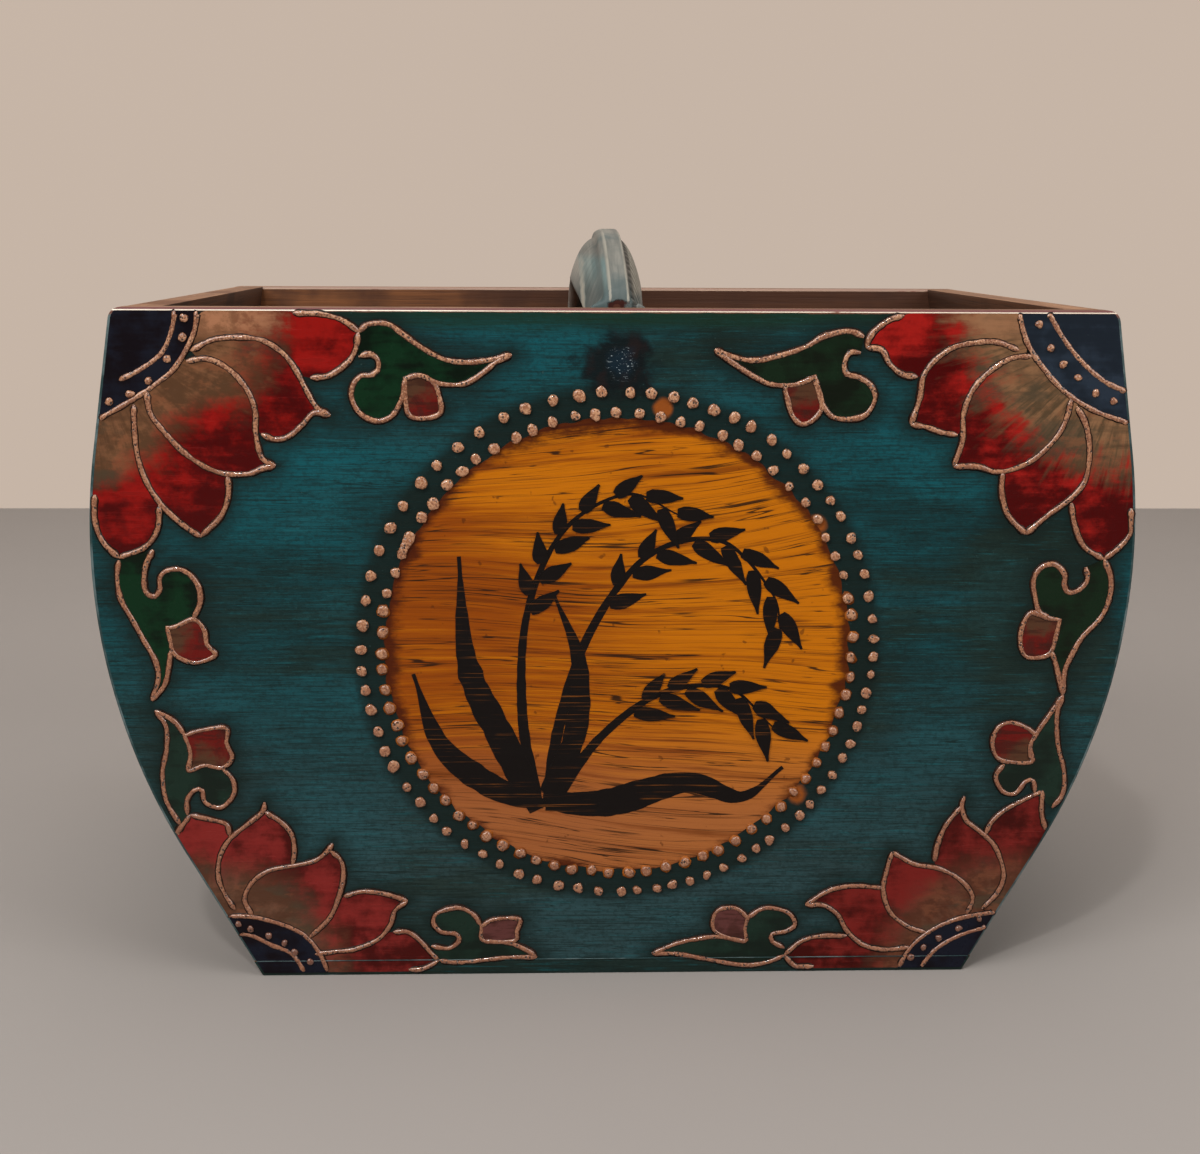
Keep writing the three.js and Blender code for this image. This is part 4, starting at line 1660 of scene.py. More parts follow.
UPPER_LEFT: Strokes = {
    "quarter_out": [(-156, 263), (-158, 253), (-165, 241), (-172, 235), (-181, 229), (-195, 221)],
    "quarter_in": [(-164, 263), (-166, 254), (-170, 246), (-178, 240), (-186, 236)],
    "quarter_corner": [(-199, 222), (-199, 262), (-170, 263)],
    "quarter_dots": [(-161, 259), (-162, 252), (-168, 244), (-175, 236), (-182, 231), (-190, 228)],
    "petal_1_root": [(-160, 247), (-153, 262), (-123, 262)],
    "petal_1_top": [(-121, 261), (-113, 261), (-104, 259), (-99, 256), (-97, 254)],
    "petal_1_low": [(-115, 237), (-108, 238), (-101, 243), (-98, 248), (-97, 254)],
    "petal_2_top": [(-159, 247), (-151, 251), (-142, 252), (-133, 251), (-126, 247), (-121, 241),
        (-117, 233), (-113, 226), (-108, 223)],
    "petal_2_low": [(-134, 216), (-129, 214), (-124, 215), (-119, 219), (-114, 224), (-108, 223)],
    "petal_3_top": [(-161, 243), (-153, 244), (-145, 240), (-139, 233), (-136, 225), (-136, 216),
        (-134, 207), (-129, 204)],
    "petal_3_low": [(-176, 232), (-175, 224), (-171, 218), (-164, 210), (-156, 204), (-148, 201),
        (-139, 201), (-134, 203), (-129, 204)],
    "petal_3_root": [(-176, 232), (-175, 238), (-163, 248)],
    "petal_4_top": [(-147, 200), (-147, 193), (-150, 185), (-158, 177)],
    "petal_4_low": [(-181, 227), (-181, 216), (-180, 206), (-177, 197), (-172, 189), (-165, 182),
        (-158, 177)],
    "petal_4_root": [(-181, 228), (-178, 234), (-166, 220)],
    "petal_5_top": [(-173, 189), (-174, 180), (-179, 173), (-189, 169)],
    "petal_5_low": [(-198, 193), (-197, 181), (-194, 174), (-189, 169)],
    "petal_5_root": [(-200, 205), (-200, 224), (-178, 232), (-170, 205)],
    "leaf_top": [(-97, 254), (-93, 257), (-86, 257), (-80, 253), (-73, 248), (-65, 244), (-56, 243),
        (-48, 244), (-40, 246)],
    "leaf_low": [(-80, 237), (-74, 238), (-67, 235), (-58, 235), (-51, 239), (-46, 243), (-40, 246)],
    "leaf_curl": [(-97, 245), (-93, 246), (-90, 244), (-90, 240), (-93, 238), (-96, 238), (-99, 235),
        (-100, 230), (-97, 224), (-91, 221), (-85, 223), (-81, 230), (-80, 237)],
    "leaf_bud": [(-80, 237), (-74, 238), (-69, 235), (-67, 229), (-67, 224), (-73, 222), (-79, 224)],
    "scroll_out": [(-189, 168), (-190, 161), (-189, 153), (-185, 145), (-181, 137), (-177, 129), (-176, 122),
        (-179, 113)],
    "scroll_tip": [(-179, 113), (-174, 119), (-172, 126), (-171, 133)],
    "scroll_join": [(-171, 133), (-172, 138), (-172, 142), (-162, 145)],
    "scroll_curl": [(-176, 172), (-179, 166), (-180, 159), (-179, 155), (-176, 154), (-174, 157),
        (-174, 161), (-171, 164), (-165, 164), (-160, 159), (-159, 152), (-162, 145)],
    "scroll_bud": [(-172, 142), (-169, 142), (-162, 145), (-158, 141), (-157, 135), (-154, 131), (-161, 128),
        (-166, 129), (-170, 132), (-171, 137)],
}
UPPER_RIGHT: Strokes = {
    "quarter_out": [(150, 263), (154, 251), (161, 241), (170, 232), (182, 225), (197, 220)],
    "quarter_in": [(161, 263), (168, 252), (176, 243), (185, 236), (195, 232)],
    "quarter_corner": [(199, 222), (199, 262), (170, 263)],
    "quarter_dots": [(158, 258), (163, 249), (168, 243), (174, 238), (181, 232), (188, 229)],
    "petal_1_root": [(154, 246), (151, 262), (109, 262)],
    "petal_1_top": [(107, 261), (101, 259), (95, 254), (93, 249)],
    "petal_1_low": [(113, 238), (107, 239), (102, 243), (99, 248), (93, 249)],
    "petal_2_top": [(151, 248), (143, 251), (135, 251), (126, 249), (119, 244), (115, 238), (114, 230),
        (111, 220)],
    "petal_2_low": [(129, 216), (123, 217), (117, 219), (111, 220)],
    "petal_3_top": [(156, 246), (148, 245), (140, 240), (134, 233), (131, 224), (131, 214), (128, 204)],
    "petal_3_low": [(172, 230), (170, 221), (166, 214), (159, 207), (151, 203), (144, 202), (137, 204),
        (128, 204)],
    "petal_3_root": [(172, 230), (172, 237), (160, 247)],
    "petal_4_top": [(147, 202), (147, 194), (150, 185), (157, 178)],
    "petal_4_low": [(174, 227), (178, 220), (180, 210), (179, 199), (174, 192), (165, 185), (157, 178)],
    "petal_4_root": [(175, 228), (172, 234), (160, 215)],
    "petal_5_top": [(174, 190), (176, 181), (180, 173), (188, 168)],
    "petal_5_low": [(199, 188), (198, 179), (194, 173), (188, 168)],
    "petal_5_root": [(200, 200), (200, 222), (175, 232), (172, 205)],
    "leaf_top": [(92, 253), (86, 255), (77, 253), (70, 249), (61, 246), (52, 244), (44, 245), (36, 248)],
    "leaf_low": [(74, 238), (67, 235), (58, 235), (51, 238), (43, 243), (36, 248)],
    "leaf_curl": [(91, 247), (87, 247), (85, 243), (86, 239), (90, 238), (95, 235), (97, 230), (94, 224),
        (88, 222), (81, 223), (77, 228), (75, 234), (74, 238)],
    "leaf_bud": [(74, 238), (67, 235), (63, 234), (64, 229), (66, 223), (70, 220), (75, 223), (77, 228)],
    "scroll_out": [(188, 168), (191, 161), (191, 153), (188, 145), (181, 137), (177, 129), (175, 123),
        (175, 114)],
    "scroll_tip": [(175, 114), (173, 121), (171, 128), (169, 132)],
    "scroll_join": [(169, 132), (171, 138), (172, 144), (167, 145)],
    "scroll_curl": [(181, 165), (182, 160), (179, 156), (175, 155), (173, 158), (173, 162), (169, 166),
        (164, 165), (161, 160), (162, 153), (164, 147), (168, 145)],
    "scroll_bud": [(172, 144), (167, 145), (161, 147), (158, 143), (157, 136), (159, 130), (164, 129),
        (169, 131), (171, 138)],
}
LOWER_LEFT: Strokes = {
    "quarter_out": [(-156, 25), (-145, 25), (-136, 23), (-128, 20), (-122, 16), (-117, 9), (-114, 1)],
    "quarter_in": [(-152, 18), (-144, 17), (-136, 13), (-128, 9), (-123, 1)],
    "quarter_corner": [(-118, 0), (-145, 0), (-160, 24)],
    "quarter_dots": [(-151, 22), (-144, 20), (-137, 17), (-131, 14), (-127, 10), (-121, 6)],
    "petal_1_top": [(-172, 59), (-169, 63), (-166, 67)],
    "petal_1_low": [(-151, 58), (-152, 63), (-158, 65), (-166, 67)],
    "petal_1_root": [(-150, 50), (-144, 28), (-150, 22), (-160, 24), (-176, 55)],
    "petal_2_top": [(-150, 28), (-154, 35), (-156, 42), (-155, 50), (-151, 57), (-144, 63), (-138, 68),
        (-137, 72)],
    "petal_2_low": [(-127, 46), (-126, 52), (-127, 59), (-131, 64), (-137, 68)],
    "petal_2_root": [(-130, 38), (-140, 22), (-150, 22)],
    "petal_3_top": [(-143, 25), (-146, 32), (-143, 39), (-136, 44), (-126, 46), (-118, 48), (-113, 52),
        (-111, 55)],
    "petal_3_low": [(-121, 16), (-113, 24), (-109, 33), (-107, 42), (-108, 48), (-112, 52)],
    "petal_3_root": [(-126, 12), (-140, 18)],
    "petal_4_top": [(-107, 33), (-100, 35), (-91, 34), (-82, 31)],
    "petal_4_low": [(-119, 9), (-111, 10), (-103, 11), (-94, 15), (-89, 21), (-87, 27), (-82, 31)],
    "petal_4_root": [(-119, 9), (-122, 15), (-112, 28)],
    "petal_5_top": [(-88, 18), (-82, 18), (-77, 14), (-73, 9), (-70, 6)],
    "petal_5_low": [(-82, 1), (-75, 3), (-70, 6)],
    "petal_5_root": [(-98, 1), (-116, 1), (-120, 9), (-95, 17)],
    "leaf_out": [(-178, 109), (-174, 103), (-174, 94), (-176, 84), (-175, 73), (-170, 63)],
    "leaf_in": [(-178, 109), (-171, 105), (-167, 99), (-165, 92), (-166, 85)],
    "leaf_join": [(-166, 85), (-160, 86), (-153, 86)],
    "leaf_bud": [(-167, 99), (-161, 101), (-151, 102), (-151, 96), (-149, 90), (-153, 86), (-160, 87),
        (-166, 85), (-165, 92)],
    "leaf_curl": [(-153, 86), (-149, 81), (-149, 75), (-154, 70), (-160, 72), (-161, 77), (-164, 77),
        (-167, 73), (-167, 67)],
    "low_curl": [(-73, 12), (-66, 11), (-62, 14), (-63, 17), (-69, 18), (-72, 22), (-70, 26), (-62, 28),
        (-56, 25), (-53, 20)],
    "low_join": [(-53, 20), (-52, 14)],
    "low_bud": [(-53, 20), (-48, 23), (-38, 23), (-39, 18), (-40, 14), (-52, 14)],
    "low_top": [(-52, 14), (-42, 13), (-35, 10), (-31, 7)],
    "low_under": [(-31, 7), (-42, 7), (-52, 6), (-62, 5), (-70, 6)],
}
LOWER_RIGHT: Strokes = {
    "quarter_out": [(114, 1), (119, 10), (127, 17), (138, 22), (155, 25)],
    "quarter_in": [(123, 1), (129, 9), (139, 15), (152, 19)],
    "quarter_corner": [(160, 24), (145, 0), (118, 0)],
    "quarter_dots": [(119, 6), (124, 10), (130, 14), (138, 18), (146, 22)],
    "petal_1_top": [(171, 59), (169, 66), (169, 75)],
    "petal_1_low": [(147, 57), (149, 62), (154, 67), (161, 71), (169, 75)],
    "petal_1_root": [(148, 45), (145, 26), (150, 22), (162, 24), (176, 55)],
    "petal_2_top": [(147, 26), (153, 33), (155, 41), (151, 52), (144, 59), (139, 63), (137, 69), (138, 73)],
    "petal_2_low": [(127, 46), (128, 53), (131, 61), (137, 69)],
    "petal_2_root": [(130, 38), (138, 20), (147, 20)],
    "petal_3_top": [(141, 24), (143, 31), (138, 38), (129, 43), (119, 45), (110, 50)],
    "petal_3_low": [(125, 16), (117, 19), (110, 25), (107, 34), (108, 42), (110, 50)],
    "petal_3_root": [(130, 12), (142, 20)],
    "petal_4_top": [(107, 35), (95, 36), (85, 34), (76, 28)],
    "petal_4_low": [(118, 10), (109, 9), (100, 11), (93, 17), (89, 24), (83, 28), (76, 28)],
    "petal_4_root": [(122, 12), (126, 17), (112, 30)],
    "petal_5_top": [(93, 15), (83, 15), (75, 13), (68, 7)],
    "petal_5_low": [(80, 1), (73, 2), (68, 7)],
    "petal_5_root": [(95, 1), (115, 1), (120, 10), (98, 15)],
    "leaf_out": [(175, 114), (173, 106), (174, 94), (177, 83), (177, 74), (173, 68)],
    "leaf_in": [(175, 114), (170, 106), (165, 98), (163, 93), (164, 87)],
    "leaf_join": [(164, 87), (156, 87), (153, 86)],
    "leaf_bud": [(165, 98), (161, 101), (155, 103), (150, 101), (148, 95), (150, 89), (155, 87), (164, 87),
        (163, 93)],
    "leaf_curl": [(153, 86), (150, 81), (153, 75), (158, 74), (162, 79), (165, 79), (166, 74)],
    "low_curl": [(68, 10), (63, 13), (63, 16), (68, 17), (72, 20), (69, 25), (60, 27), (53, 23)],
    "low_join": [(53, 23), (52, 18), (52, 13)],
    "low_bud": [(53, 23), (48, 27), (41, 26), (39, 20), (42, 16), (52, 13), (52, 18)],
    "low_top": [(52, 13), (41, 15), (32, 14), (24, 12), (15, 8)],
    "low_under": [(15, 8), (24, 8), (35, 6), (51, 3), (61, 4), (68, 7)],
}


PETAL_GLAZES = {
    "upper_left": PetalGlaze(
        "petal_glaze_upper_left", (-199, 258), 55, ((-113, 252, 20, 0.42),), 0.2, 1.24, bleached=0.8,
        shifts=((-158, 217, 22, 9), (-193, 203, 16, -7)), red=(0.27, 0.006, 0.004),
        olive=(0.092, 0.042, 0.019)),
    "upper_right": PetalGlaze(
        "petal_glaze_upper_right", (198, 262), 60,
        ((104, 255, 20, 0.42), (148, 222, 20, -0.04), (160, 190, 20, -0.12), (187, 182, 22, -0.14),
         (112, 240, 14, -0.12)), 0.6, paleness=0.16, bleached=0.3,
        red=(0.34, 0.01, 0.007), tan=(0.25, 0.125, 0.06), olive=(0.09, 0.054, 0.027)),
    "lower_left": PetalGlaze(
        "petal_glaze_lower_left", (-158, -4), 50,
        ((-165, 62, 20, 0.3), (-138, 58, 16, 0.22), (-98, 28, 15, 0.26), (-118, 36, 17, 0.13)), 0.15, 1.0,
        12.0, red=(0.205, 0.018, 0.015), dark_red=(0.055, 0.004, 0.003), tan=(0.16, 0.072, 0.042),
        olive=(0.082, 0.034, 0.018)),
    "lower_right": PetalGlaze(
        "petal_glaze_lower_right", (157, -4), 51, ((114, 38, 15, 0.22), (95, 25, 16, 0.24)), 0.15, 1.0, 12.0,
        red=(0.165, 0.013, 0.01), dark_red=(0.045, 0.003, 0.002), tan=(0.16, 0.068, 0.038),
        olive=(0.082, 0.027, 0.014)),
}


@dataclass
class LotusCorner:
    """One corner flower: glazed fields between piped lines, with a beaded dark quarter round."""

    name: str
    strokes: Strokes
    fields: list[tuple[Field, str]]
    petal_glaze: Material
    line_radius: float
    pool: float = 0.42
    line_height: float = 0.8
    edge_margin: float = 2.1
    pool_height: float = 0.42
    first_layer: float = 0.12
    layer: float = 0.05
    sunk: float = 0.3
    swell: float = 0.28
    ripple: float = 0.16
    lump: float = 0.17
    line_ends: tuple[float, ...] = (0.5, 1.0, 1.2, 1.12, 1.04)

    def field_loop(self, recipe: str) -> list[Vector]:
        """The outline of a field, from its strokes in order.

        Args:
            recipe: the strokes' names.

        Returns:
            The points.
        """
        loop: list[Vector] = []
        for word in recipe.split():
            run = smooth_run(self.strokes[word.lstrip("-")], 1.6)
            loop += run[::-1] if word.startswith("-") else run
        if len(recipe.split()) == 1:
            closing = self.strokes[recipe]
            loop = smooth_run([*closing, closing[0]], 1.6)
        clean: list[Vector] = []
        for point in map(OUTLINE.inside, loop):
            if not clean or (point - clean[-1]).length > 0.25:
                clean.append(point)
        if (clean[0] - clean[-1]).length < 0.25:
            clean.pop()
        return clean

    def build_fields(self, leaf: Material, bud: Material, quarter: Material) -> None:
        """Cuts the glazed fields as thin sheets, one layer over the other.

        Args:
            leaf: the glaze of the leaves.
            bud: that of the buds.
            quarter: that of the quarter round.
        """
        glazes = {Field.LEAF: leaf, Field.BUD: bud, Field.QUARTER: quarter}
        groups: dict[str, list[Piece]] = {}
        for kind, recipe in self.fields:
            proud = self.first_layer + self.layer * kind.value
            loop = [on_front(p, proud) for p in self.field_loop(recipe)]
            sheet = cut_sheet(f"{self.name}_field", loop, Vector((0, (proud + self.sunk) * MM, 0)))
            dress(sheet, glazes.get(kind, self.petal_glaze))
            label = "petals" if kind.value < 3 else kind.name.lower()
            groups.setdefault(label, []).append(sheet)
        for label, sheets in groups.items():
            fit(joined(f"{self.name}_{label}", sheets), "decorated_lacquer")

    def lines(self) -> list[tuple[list[Vector], bool]]:
        """The piped lines, each with whether it closes on itself.

        Returns:
            The lines.
        """
        drawn = []
        for name, points in self.strokes.items():
            if name.split("_")[-1] in UNDRAWN:
                continue
            closed = name.endswith("bud")
            run = smooth_run([*points, points[0]] if closed else points)
            drawn.append(([OUTLINE.inside(p, self.edge_margin) for p in run], closed))
        return drawn

    def build_lines(self, gesso: Material, pool: Material) -> None:
        """Pipes the lines, and under them the dark glaze that has pooled along their feet, which also stands
        for their painted shadow.
        """
        self.pipe("piped_lines", self.line_radius, self.line_height, gesso)
        self.pipe("pooled_glaze", self.line_radius + self.pool, self.pool_height, pool)

    def pipe(self, name: str, radius: float, height: float, material: Material) -> None:
        """Pipes every line as a bevelled curve of uneven width, then flattens them onto the face.

        Args:
            name: what is piped.
            radius: half its width.
            height: how far it stands from the face.
            material: what it is made of.
        """
        clear_bench()
        bpy.ops.curve.primitive_bezier_curve_add()
        piece = fresh(f"{self.name}_{name}")
        piped = piece.data
        piped.splines.clear()
        piped.dimensions = "3D"
        piped.bevel_depth = radius * MM
        piped.bevel_resolution = 2
        piped.use_fill_caps = True
        for run, closed in self.lines():
            spline = piped.splines.new("POLY")
            spline.points.add(len(run) - 1 - closed)
            for k, mark in enumerate(spline.points):
                x, z = run[k]
                mark.co = (*(Vector((x, FRONT, z)) * MM), 1.0)
                swell = 1 + self.swell * noise.noise(Vector((x * 0.16, z * 0.16, 3.0)))
                swell += self.ripple * noise.noise(Vector((x * 0.55, z * 0.55, 8.0)))
                from_end = min(k, len(run) - 1 - k)
                mark.radius = swell if closed else swell * self.line_ends[min(from_end, 4)]
            spline.use_cyclic_u = closed
        pick(piece)
        bpy.ops.object.convert(target="MESH")
        with Carving(piece):
            bpy.ops.mesh.select_all(action="SELECT")
            bpy.ops.transform.resize(value=(1, height / radius, 1), center_override=(0, FRONT * MM, 0))
            bpy.ops.mesh.normals_make_consistent(inside=False)
        for vert in piece.data.vertices:
            raised = noise.noise(vert.co * 900) * self.lump * MM
            vert.co.z += raised
            vert.co.x += noise.noise(vert.co * 900 + Vector((7, 0, 0))) * self.lump * MM
        shade(piece)
        dress(piece, material)
        fit(piece, "decorated_lacquer")


@dataclass
class BeadRow:
    """Domed gesso beads of uneven size, modelled once and copied."""

    name: str
    places: list[tuple[float, float, float]]
    seed: int
    height: float = 1.25
    sunk: float = 0.4
    lump: float = 0.6
    dome: tuple[Flat, ...] = ((0.16, 0.28), (0.34, 0.2))

    def bead(self) -> Piece:
        """One bead of 1 mm radius at the middle of the face: a round slug with a softened front.

        Returns:
            The bead.
        """
        clear_bench()
        bpy.ops.mesh.primitive_cylinder_add(
            vertices=12, radius=MM, depth=(self.height + self.sunk) * MM,
            location=(0, (self.sunk - self.height) / 2 * MM, 0), rotation=(math.pi / 2, 0, 0))
        piece = fresh("bead")
        with Carving(piece) as work:
            work.faces(lambda f: f.normal.y < -0.9)
            for inset, rise in self.dome:
                bpy.ops.mesh.inset(thickness=inset * MM, depth=0.0)
                bpy.ops.transform.translate(value=(0, -rise * MM, 0))
        return piece

    def build(self, gesso: Material) -> None:
        """Sets a copy at each place, each a little out of round.

        Args:
            gesso: what they are made of.
        """
        hand = random.Random(self.seed)
        model = self.bead()
        beads = []
        for x, z, radius in self.places:
            bead = model.copy()
            bead.data = model.data.copy()
            bpy.context.scene.collection.objects.link(bead)
            long = hand.uniform(0.94, 1.1)
            turn = Matrix.Rotation(hand.uniform(0, math.pi), 4, "Y")
            size = Matrix.Diagonal((radius * long, hand.uniform(0.8, 1.1), radius / long, 1.0))
            bead.data.transform(Matrix.Translation(Vector((x, FRONT, z)) * MM) @ turn @ size)
            for vert in bead.data.vertices:
                vert.co.x += noise.noise(vert.co * 480) * self.lump * MM
                vert.co.z += noise.noise(vert.co * 480 + Vector((5, 0, 0))) * self.lump * MM
            beads.append(bead)
        bpy.data.objects.remove(model)
        piece = joined(self.name, beads)
        shade(piece)
        dress(piece, gesso)
        fit(piece, "decorated_lacquer")


class Taper(Enum):
    """Where a brush stroke thins out."""

    TO_THE_END = "end"
    TO_BOTH_ENDS = "both"


@dataclass(frozen=True)
class BrushStroke:
    """One stroke of the brush, by its middle line and half its width."""

    line: tuple[Flat, ...]
    half: float
    taper: Taper = Taper.TO_BOTH_ENDS
    step: float = 2.0

    def loop(self, seed: float) -> list[Vector]:
        """The stroke's outline.

        Args:
            seed: what makes its width uneven in its own way.

        Returns:
            The points, up one side and down the other.
        """
        run = smooth_run(self.line, self.step)
        left, right = [], []
        for j, mark in enumerate(run):
            after, before = run[min(j + 1, len(run) - 1)], run[max(j - 1, 0)]
            ahead = (after - before).normalized()
            share = j / (len(run) - 1)
            full = 1.1 - share
            if self.taper is Taper.TO_BOTH_ENDS:
                full = math.sin(math.pi * (0.1 + 0.9 * share) ** 0.72)
            uneven = noise.noise(Vector((mark.x * 0.2, mark.y * 0.2, seed)))
            across = Vector((-ahead.y, ahead.x)) * (self.half * max(0.14, full) * (1 + 0.18 * uneven))
            left.append(mark + across)
            right.append(mark - across)
        return left + right[::-1]


@dataclass
class Roundel:
    """The gold disc in its two rings of beads, with a brush-painted ear of rice."""

    x: float = 0.5
    z: float = 133.3
    radius: float = 89.6
    run_together: Flat = (-81.0, 171.0)
    ragged: float = 1.5
    drop: float = 0.5
    rings: tuple[tuple[str, float, tuple[float, float, float, float], float], ...] = (
        ("inner_bead_ring", 90.8, (17.3, 18.0, 19.6, 19.1), 1.96),
        ("outer_bead_ring", 98.8, (18.9, 15.6, 18.8, 21.7), 2.02),
    )
    ear: tuple[BrushStroke, ...] = (
        BrushStroke(((-26, -62), (-22, -30), (-10, 8), (12, 38), (40, 44), (60, 24), (64, 8)), 2.3,
                    Taper.TO_THE_END),
        BrushStroke(((-30, -62), (-36, -24), (-34, 16), (-20, 48), (4, 62), (24, 54)), 2.2, Taper.TO_THE_END),
        BrushStroke(((-24, -60), (-6, -34), (18, -16), (44, -14), (62, -30)), 2.1, Taper.TO_THE_END),
        BrushStroke(((-30, -63), (-44, -34), (-57, -4), (-60, 38)), 5.6),
        BrushStroke(((-32, -60), (-50, -52), (-68, -36), (-78, -8)), 5.0),
        BrushStroke(((-27, -60), (-2, -60), (28, -52), (50, -58), (66, -46)), 5.6),
        BrushStroke(((-27, -56), (-16, -34), (-14, -4), (-24, 24)), 4.4),
    )
    grain_rows: tuple[tuple[int, float, int], ...] = ((0, 0.46, 15), (1, 0.48, 14), (2, 0.42, 12))
    grain_length: float = 13.5
    grain_half: float = 2.9
    ink_proud: float = 0.3
    between_rings: float = 94.5
    size_drop: float = 0.15
    size_spread: float = 0.55

    def shade_at(self, x: float, z: float) -> float:
        """How dark the paint is around the bead rings."""
        gap = abs(math.hypot(x - self.x, z - self.z) - self.between_rings)
        return 0.95 * (1 - ease(4.5, 10.0, gap))

    def build_disc(self, gold: Material) -> None:
        """Cuts the disc with a hand-painted, slightly ragged edge.

        Args:
            gold: the lacquer.
        """
        loop = []
        for k in range(360):
            angle = 2 * math.pi * k / 360
            away = Vector((math.cos(angle), math.sin(angle)))
            ragged = noise.noise(Vector((away.x * 17, away.y * 17, 1.3))) * self.ragged
            loop.append(on_front(Vector((self.x, self.z - self.drop)) + away * (self.radius + ragged), 0.2))
        disc = cut_sheet("gold_disc", loop, Vector((0, 0.5 * MM, 0)))
        dress(disc, gold)
        fit(disc, "decorated_lacquer")

    def build_beads(self, gesso: Material, size_colour: Material) -> None:
        """Sets both rings, spaced quarter by quarter, with gold size run round the inner one's feet.

        Args:
            gesso: what the beads are made of.
            size_colour: the gold size round their feet.
        """
        hand = random.Random(5)
        for name, radius, counts, size in self.rings:
            edges = [0.0]
            for count in counts:
                edges.append(edges[-1] + count)
            places = []
            for k in range(round(edges[-1])):
                mark = (k + 0.5 + hand.uniform(-0.1, 0.1)) * edges[-1] / round(edges[-1])
                quarter = max(q for q in range(4) if edges[q] <= mark)
                angle = math.pi / 2 * (quarter + (mark - edges[quarter]) / counts[quarter])
                away = radius + hand.uniform(-0.5, 0.5)
                grown = size * (1 + 0.1 * math.sin(angle - 0.6)) * hand.uniform(0.88, 1.1)
                places.append((self.x + away * math.cos(angle), self.z + away * math.sin(angle), grown))
            if name == "inner_bead_ring":
                feet = [(x, z - self.size_drop, grown + self.size_spread) for x, z, grown in places
                        if z < self.z + 20]
                BeadRow("gold_size_feet", feet, seed=3, height=0.24).build(size_colour)
                one, other = sorted(places, key=lambda p: math.dist(p[:2], self.run_together))[:2]
                places += [
                    (lerp(one[0], other[0], t), lerp(one[1], other[1], t), 1.75) for t in (0.25, 0.5, 0.75)]
            BeadRow(name, places, seed=len(name)).build(gesso)

    def grains(self, stem: list[Vector], first: float, count: int) -> list[BrushStroke]:
        """The grains along a stem, to its left and right in turn.

        Args:
            stem: the stem's points.
            first: the share of the stem at which they begin.
            count: how many there are.

        Returns:
            A stroke for each grain.
        """
        strokes = []
        for k in range(count):
            place = min(len(stem) - 3, int(len(stem) * lerp(first, 0.98, k / (count - 1))))
            ahead = (stem[place + 2] - stem[place]).normalized()
            side = 1 if k % 2 else -1
            lean = Vector((ahead.x * 0.8 - side * ahead.y * 0.6, ahead.y * 0.8 + side * ahead.x * 0.6))
            lean.y -= 0.25
            start, length = stem[place] + lean * 1.5, self.grain_length - 0.16 * k
            line = (start, start + lean * length * 0.5 + ahead * 1.2, start + lean * length + ahead * 3)
            strokes.append(BrushStroke(tuple(map(tuple, line)), self.grain_half))
        return strokes

    def build_ear(self, ink: Material) -> None:
        """Paints stems, blades and grains as tapered brush strokes.

        Args:
            ink: the ink.
        """
        strokes = list(self.ear)
        for stem, first, count in self.grain_rows:
            strokes += self.grains(smooth_run(self.ear[stem].line), first, count)
        centre = Vector((self.x - 1, self.z - 2))
        sheets = []
        for k, stroke in enumerate(strokes):
            loop = [on_front(centre + p, self.ink_proud + 0.012 * k) for p in stroke.loop(k)]
            sheets.append(cut_sheet("stroke", loop, Vector((0, 0.35 * MM, 0))))
        piece = joined("painted_rice_ear", sheets)
        dress(piece, ink)
        fit(piece, "decorated_lacquer")


@dataclass
class SeamHighlight:
    """The pale line where the front board stands on the base: a painted highlight along the edge of the
    joint.
    """

    height: float = 6.2
    width: float = 0.34

    def build(self, edge: Material) -> None:
        """Draws a thin bar out across the front, a little uneven.

        Args:
            edge: its finish.
        """
        rows = []
        half = OUTLINE.half_width(self.height) - 1.2
        for k in range(81):
            x = lerp(-half, half, k / 80)
            wide = self.width * (0.75 + 0.5 * noise.noise(Vector((x * 0.06, 0, 0))))
            rows.append([Vector((x, FRONT + dy, self.height + dz)) * MM for dy, dz in (
                (0.2, -wide / 2), (-0.42, -wide / 2), (-0.5, 0.0), (-0.42, wide / 2), (0.2, wide / 2))])
        piece = draw_out("seam_line", rows)
        shade(piece, 60)
        dress(piece, edge)
        fit(piece, "decorated_lacquer")


# The room


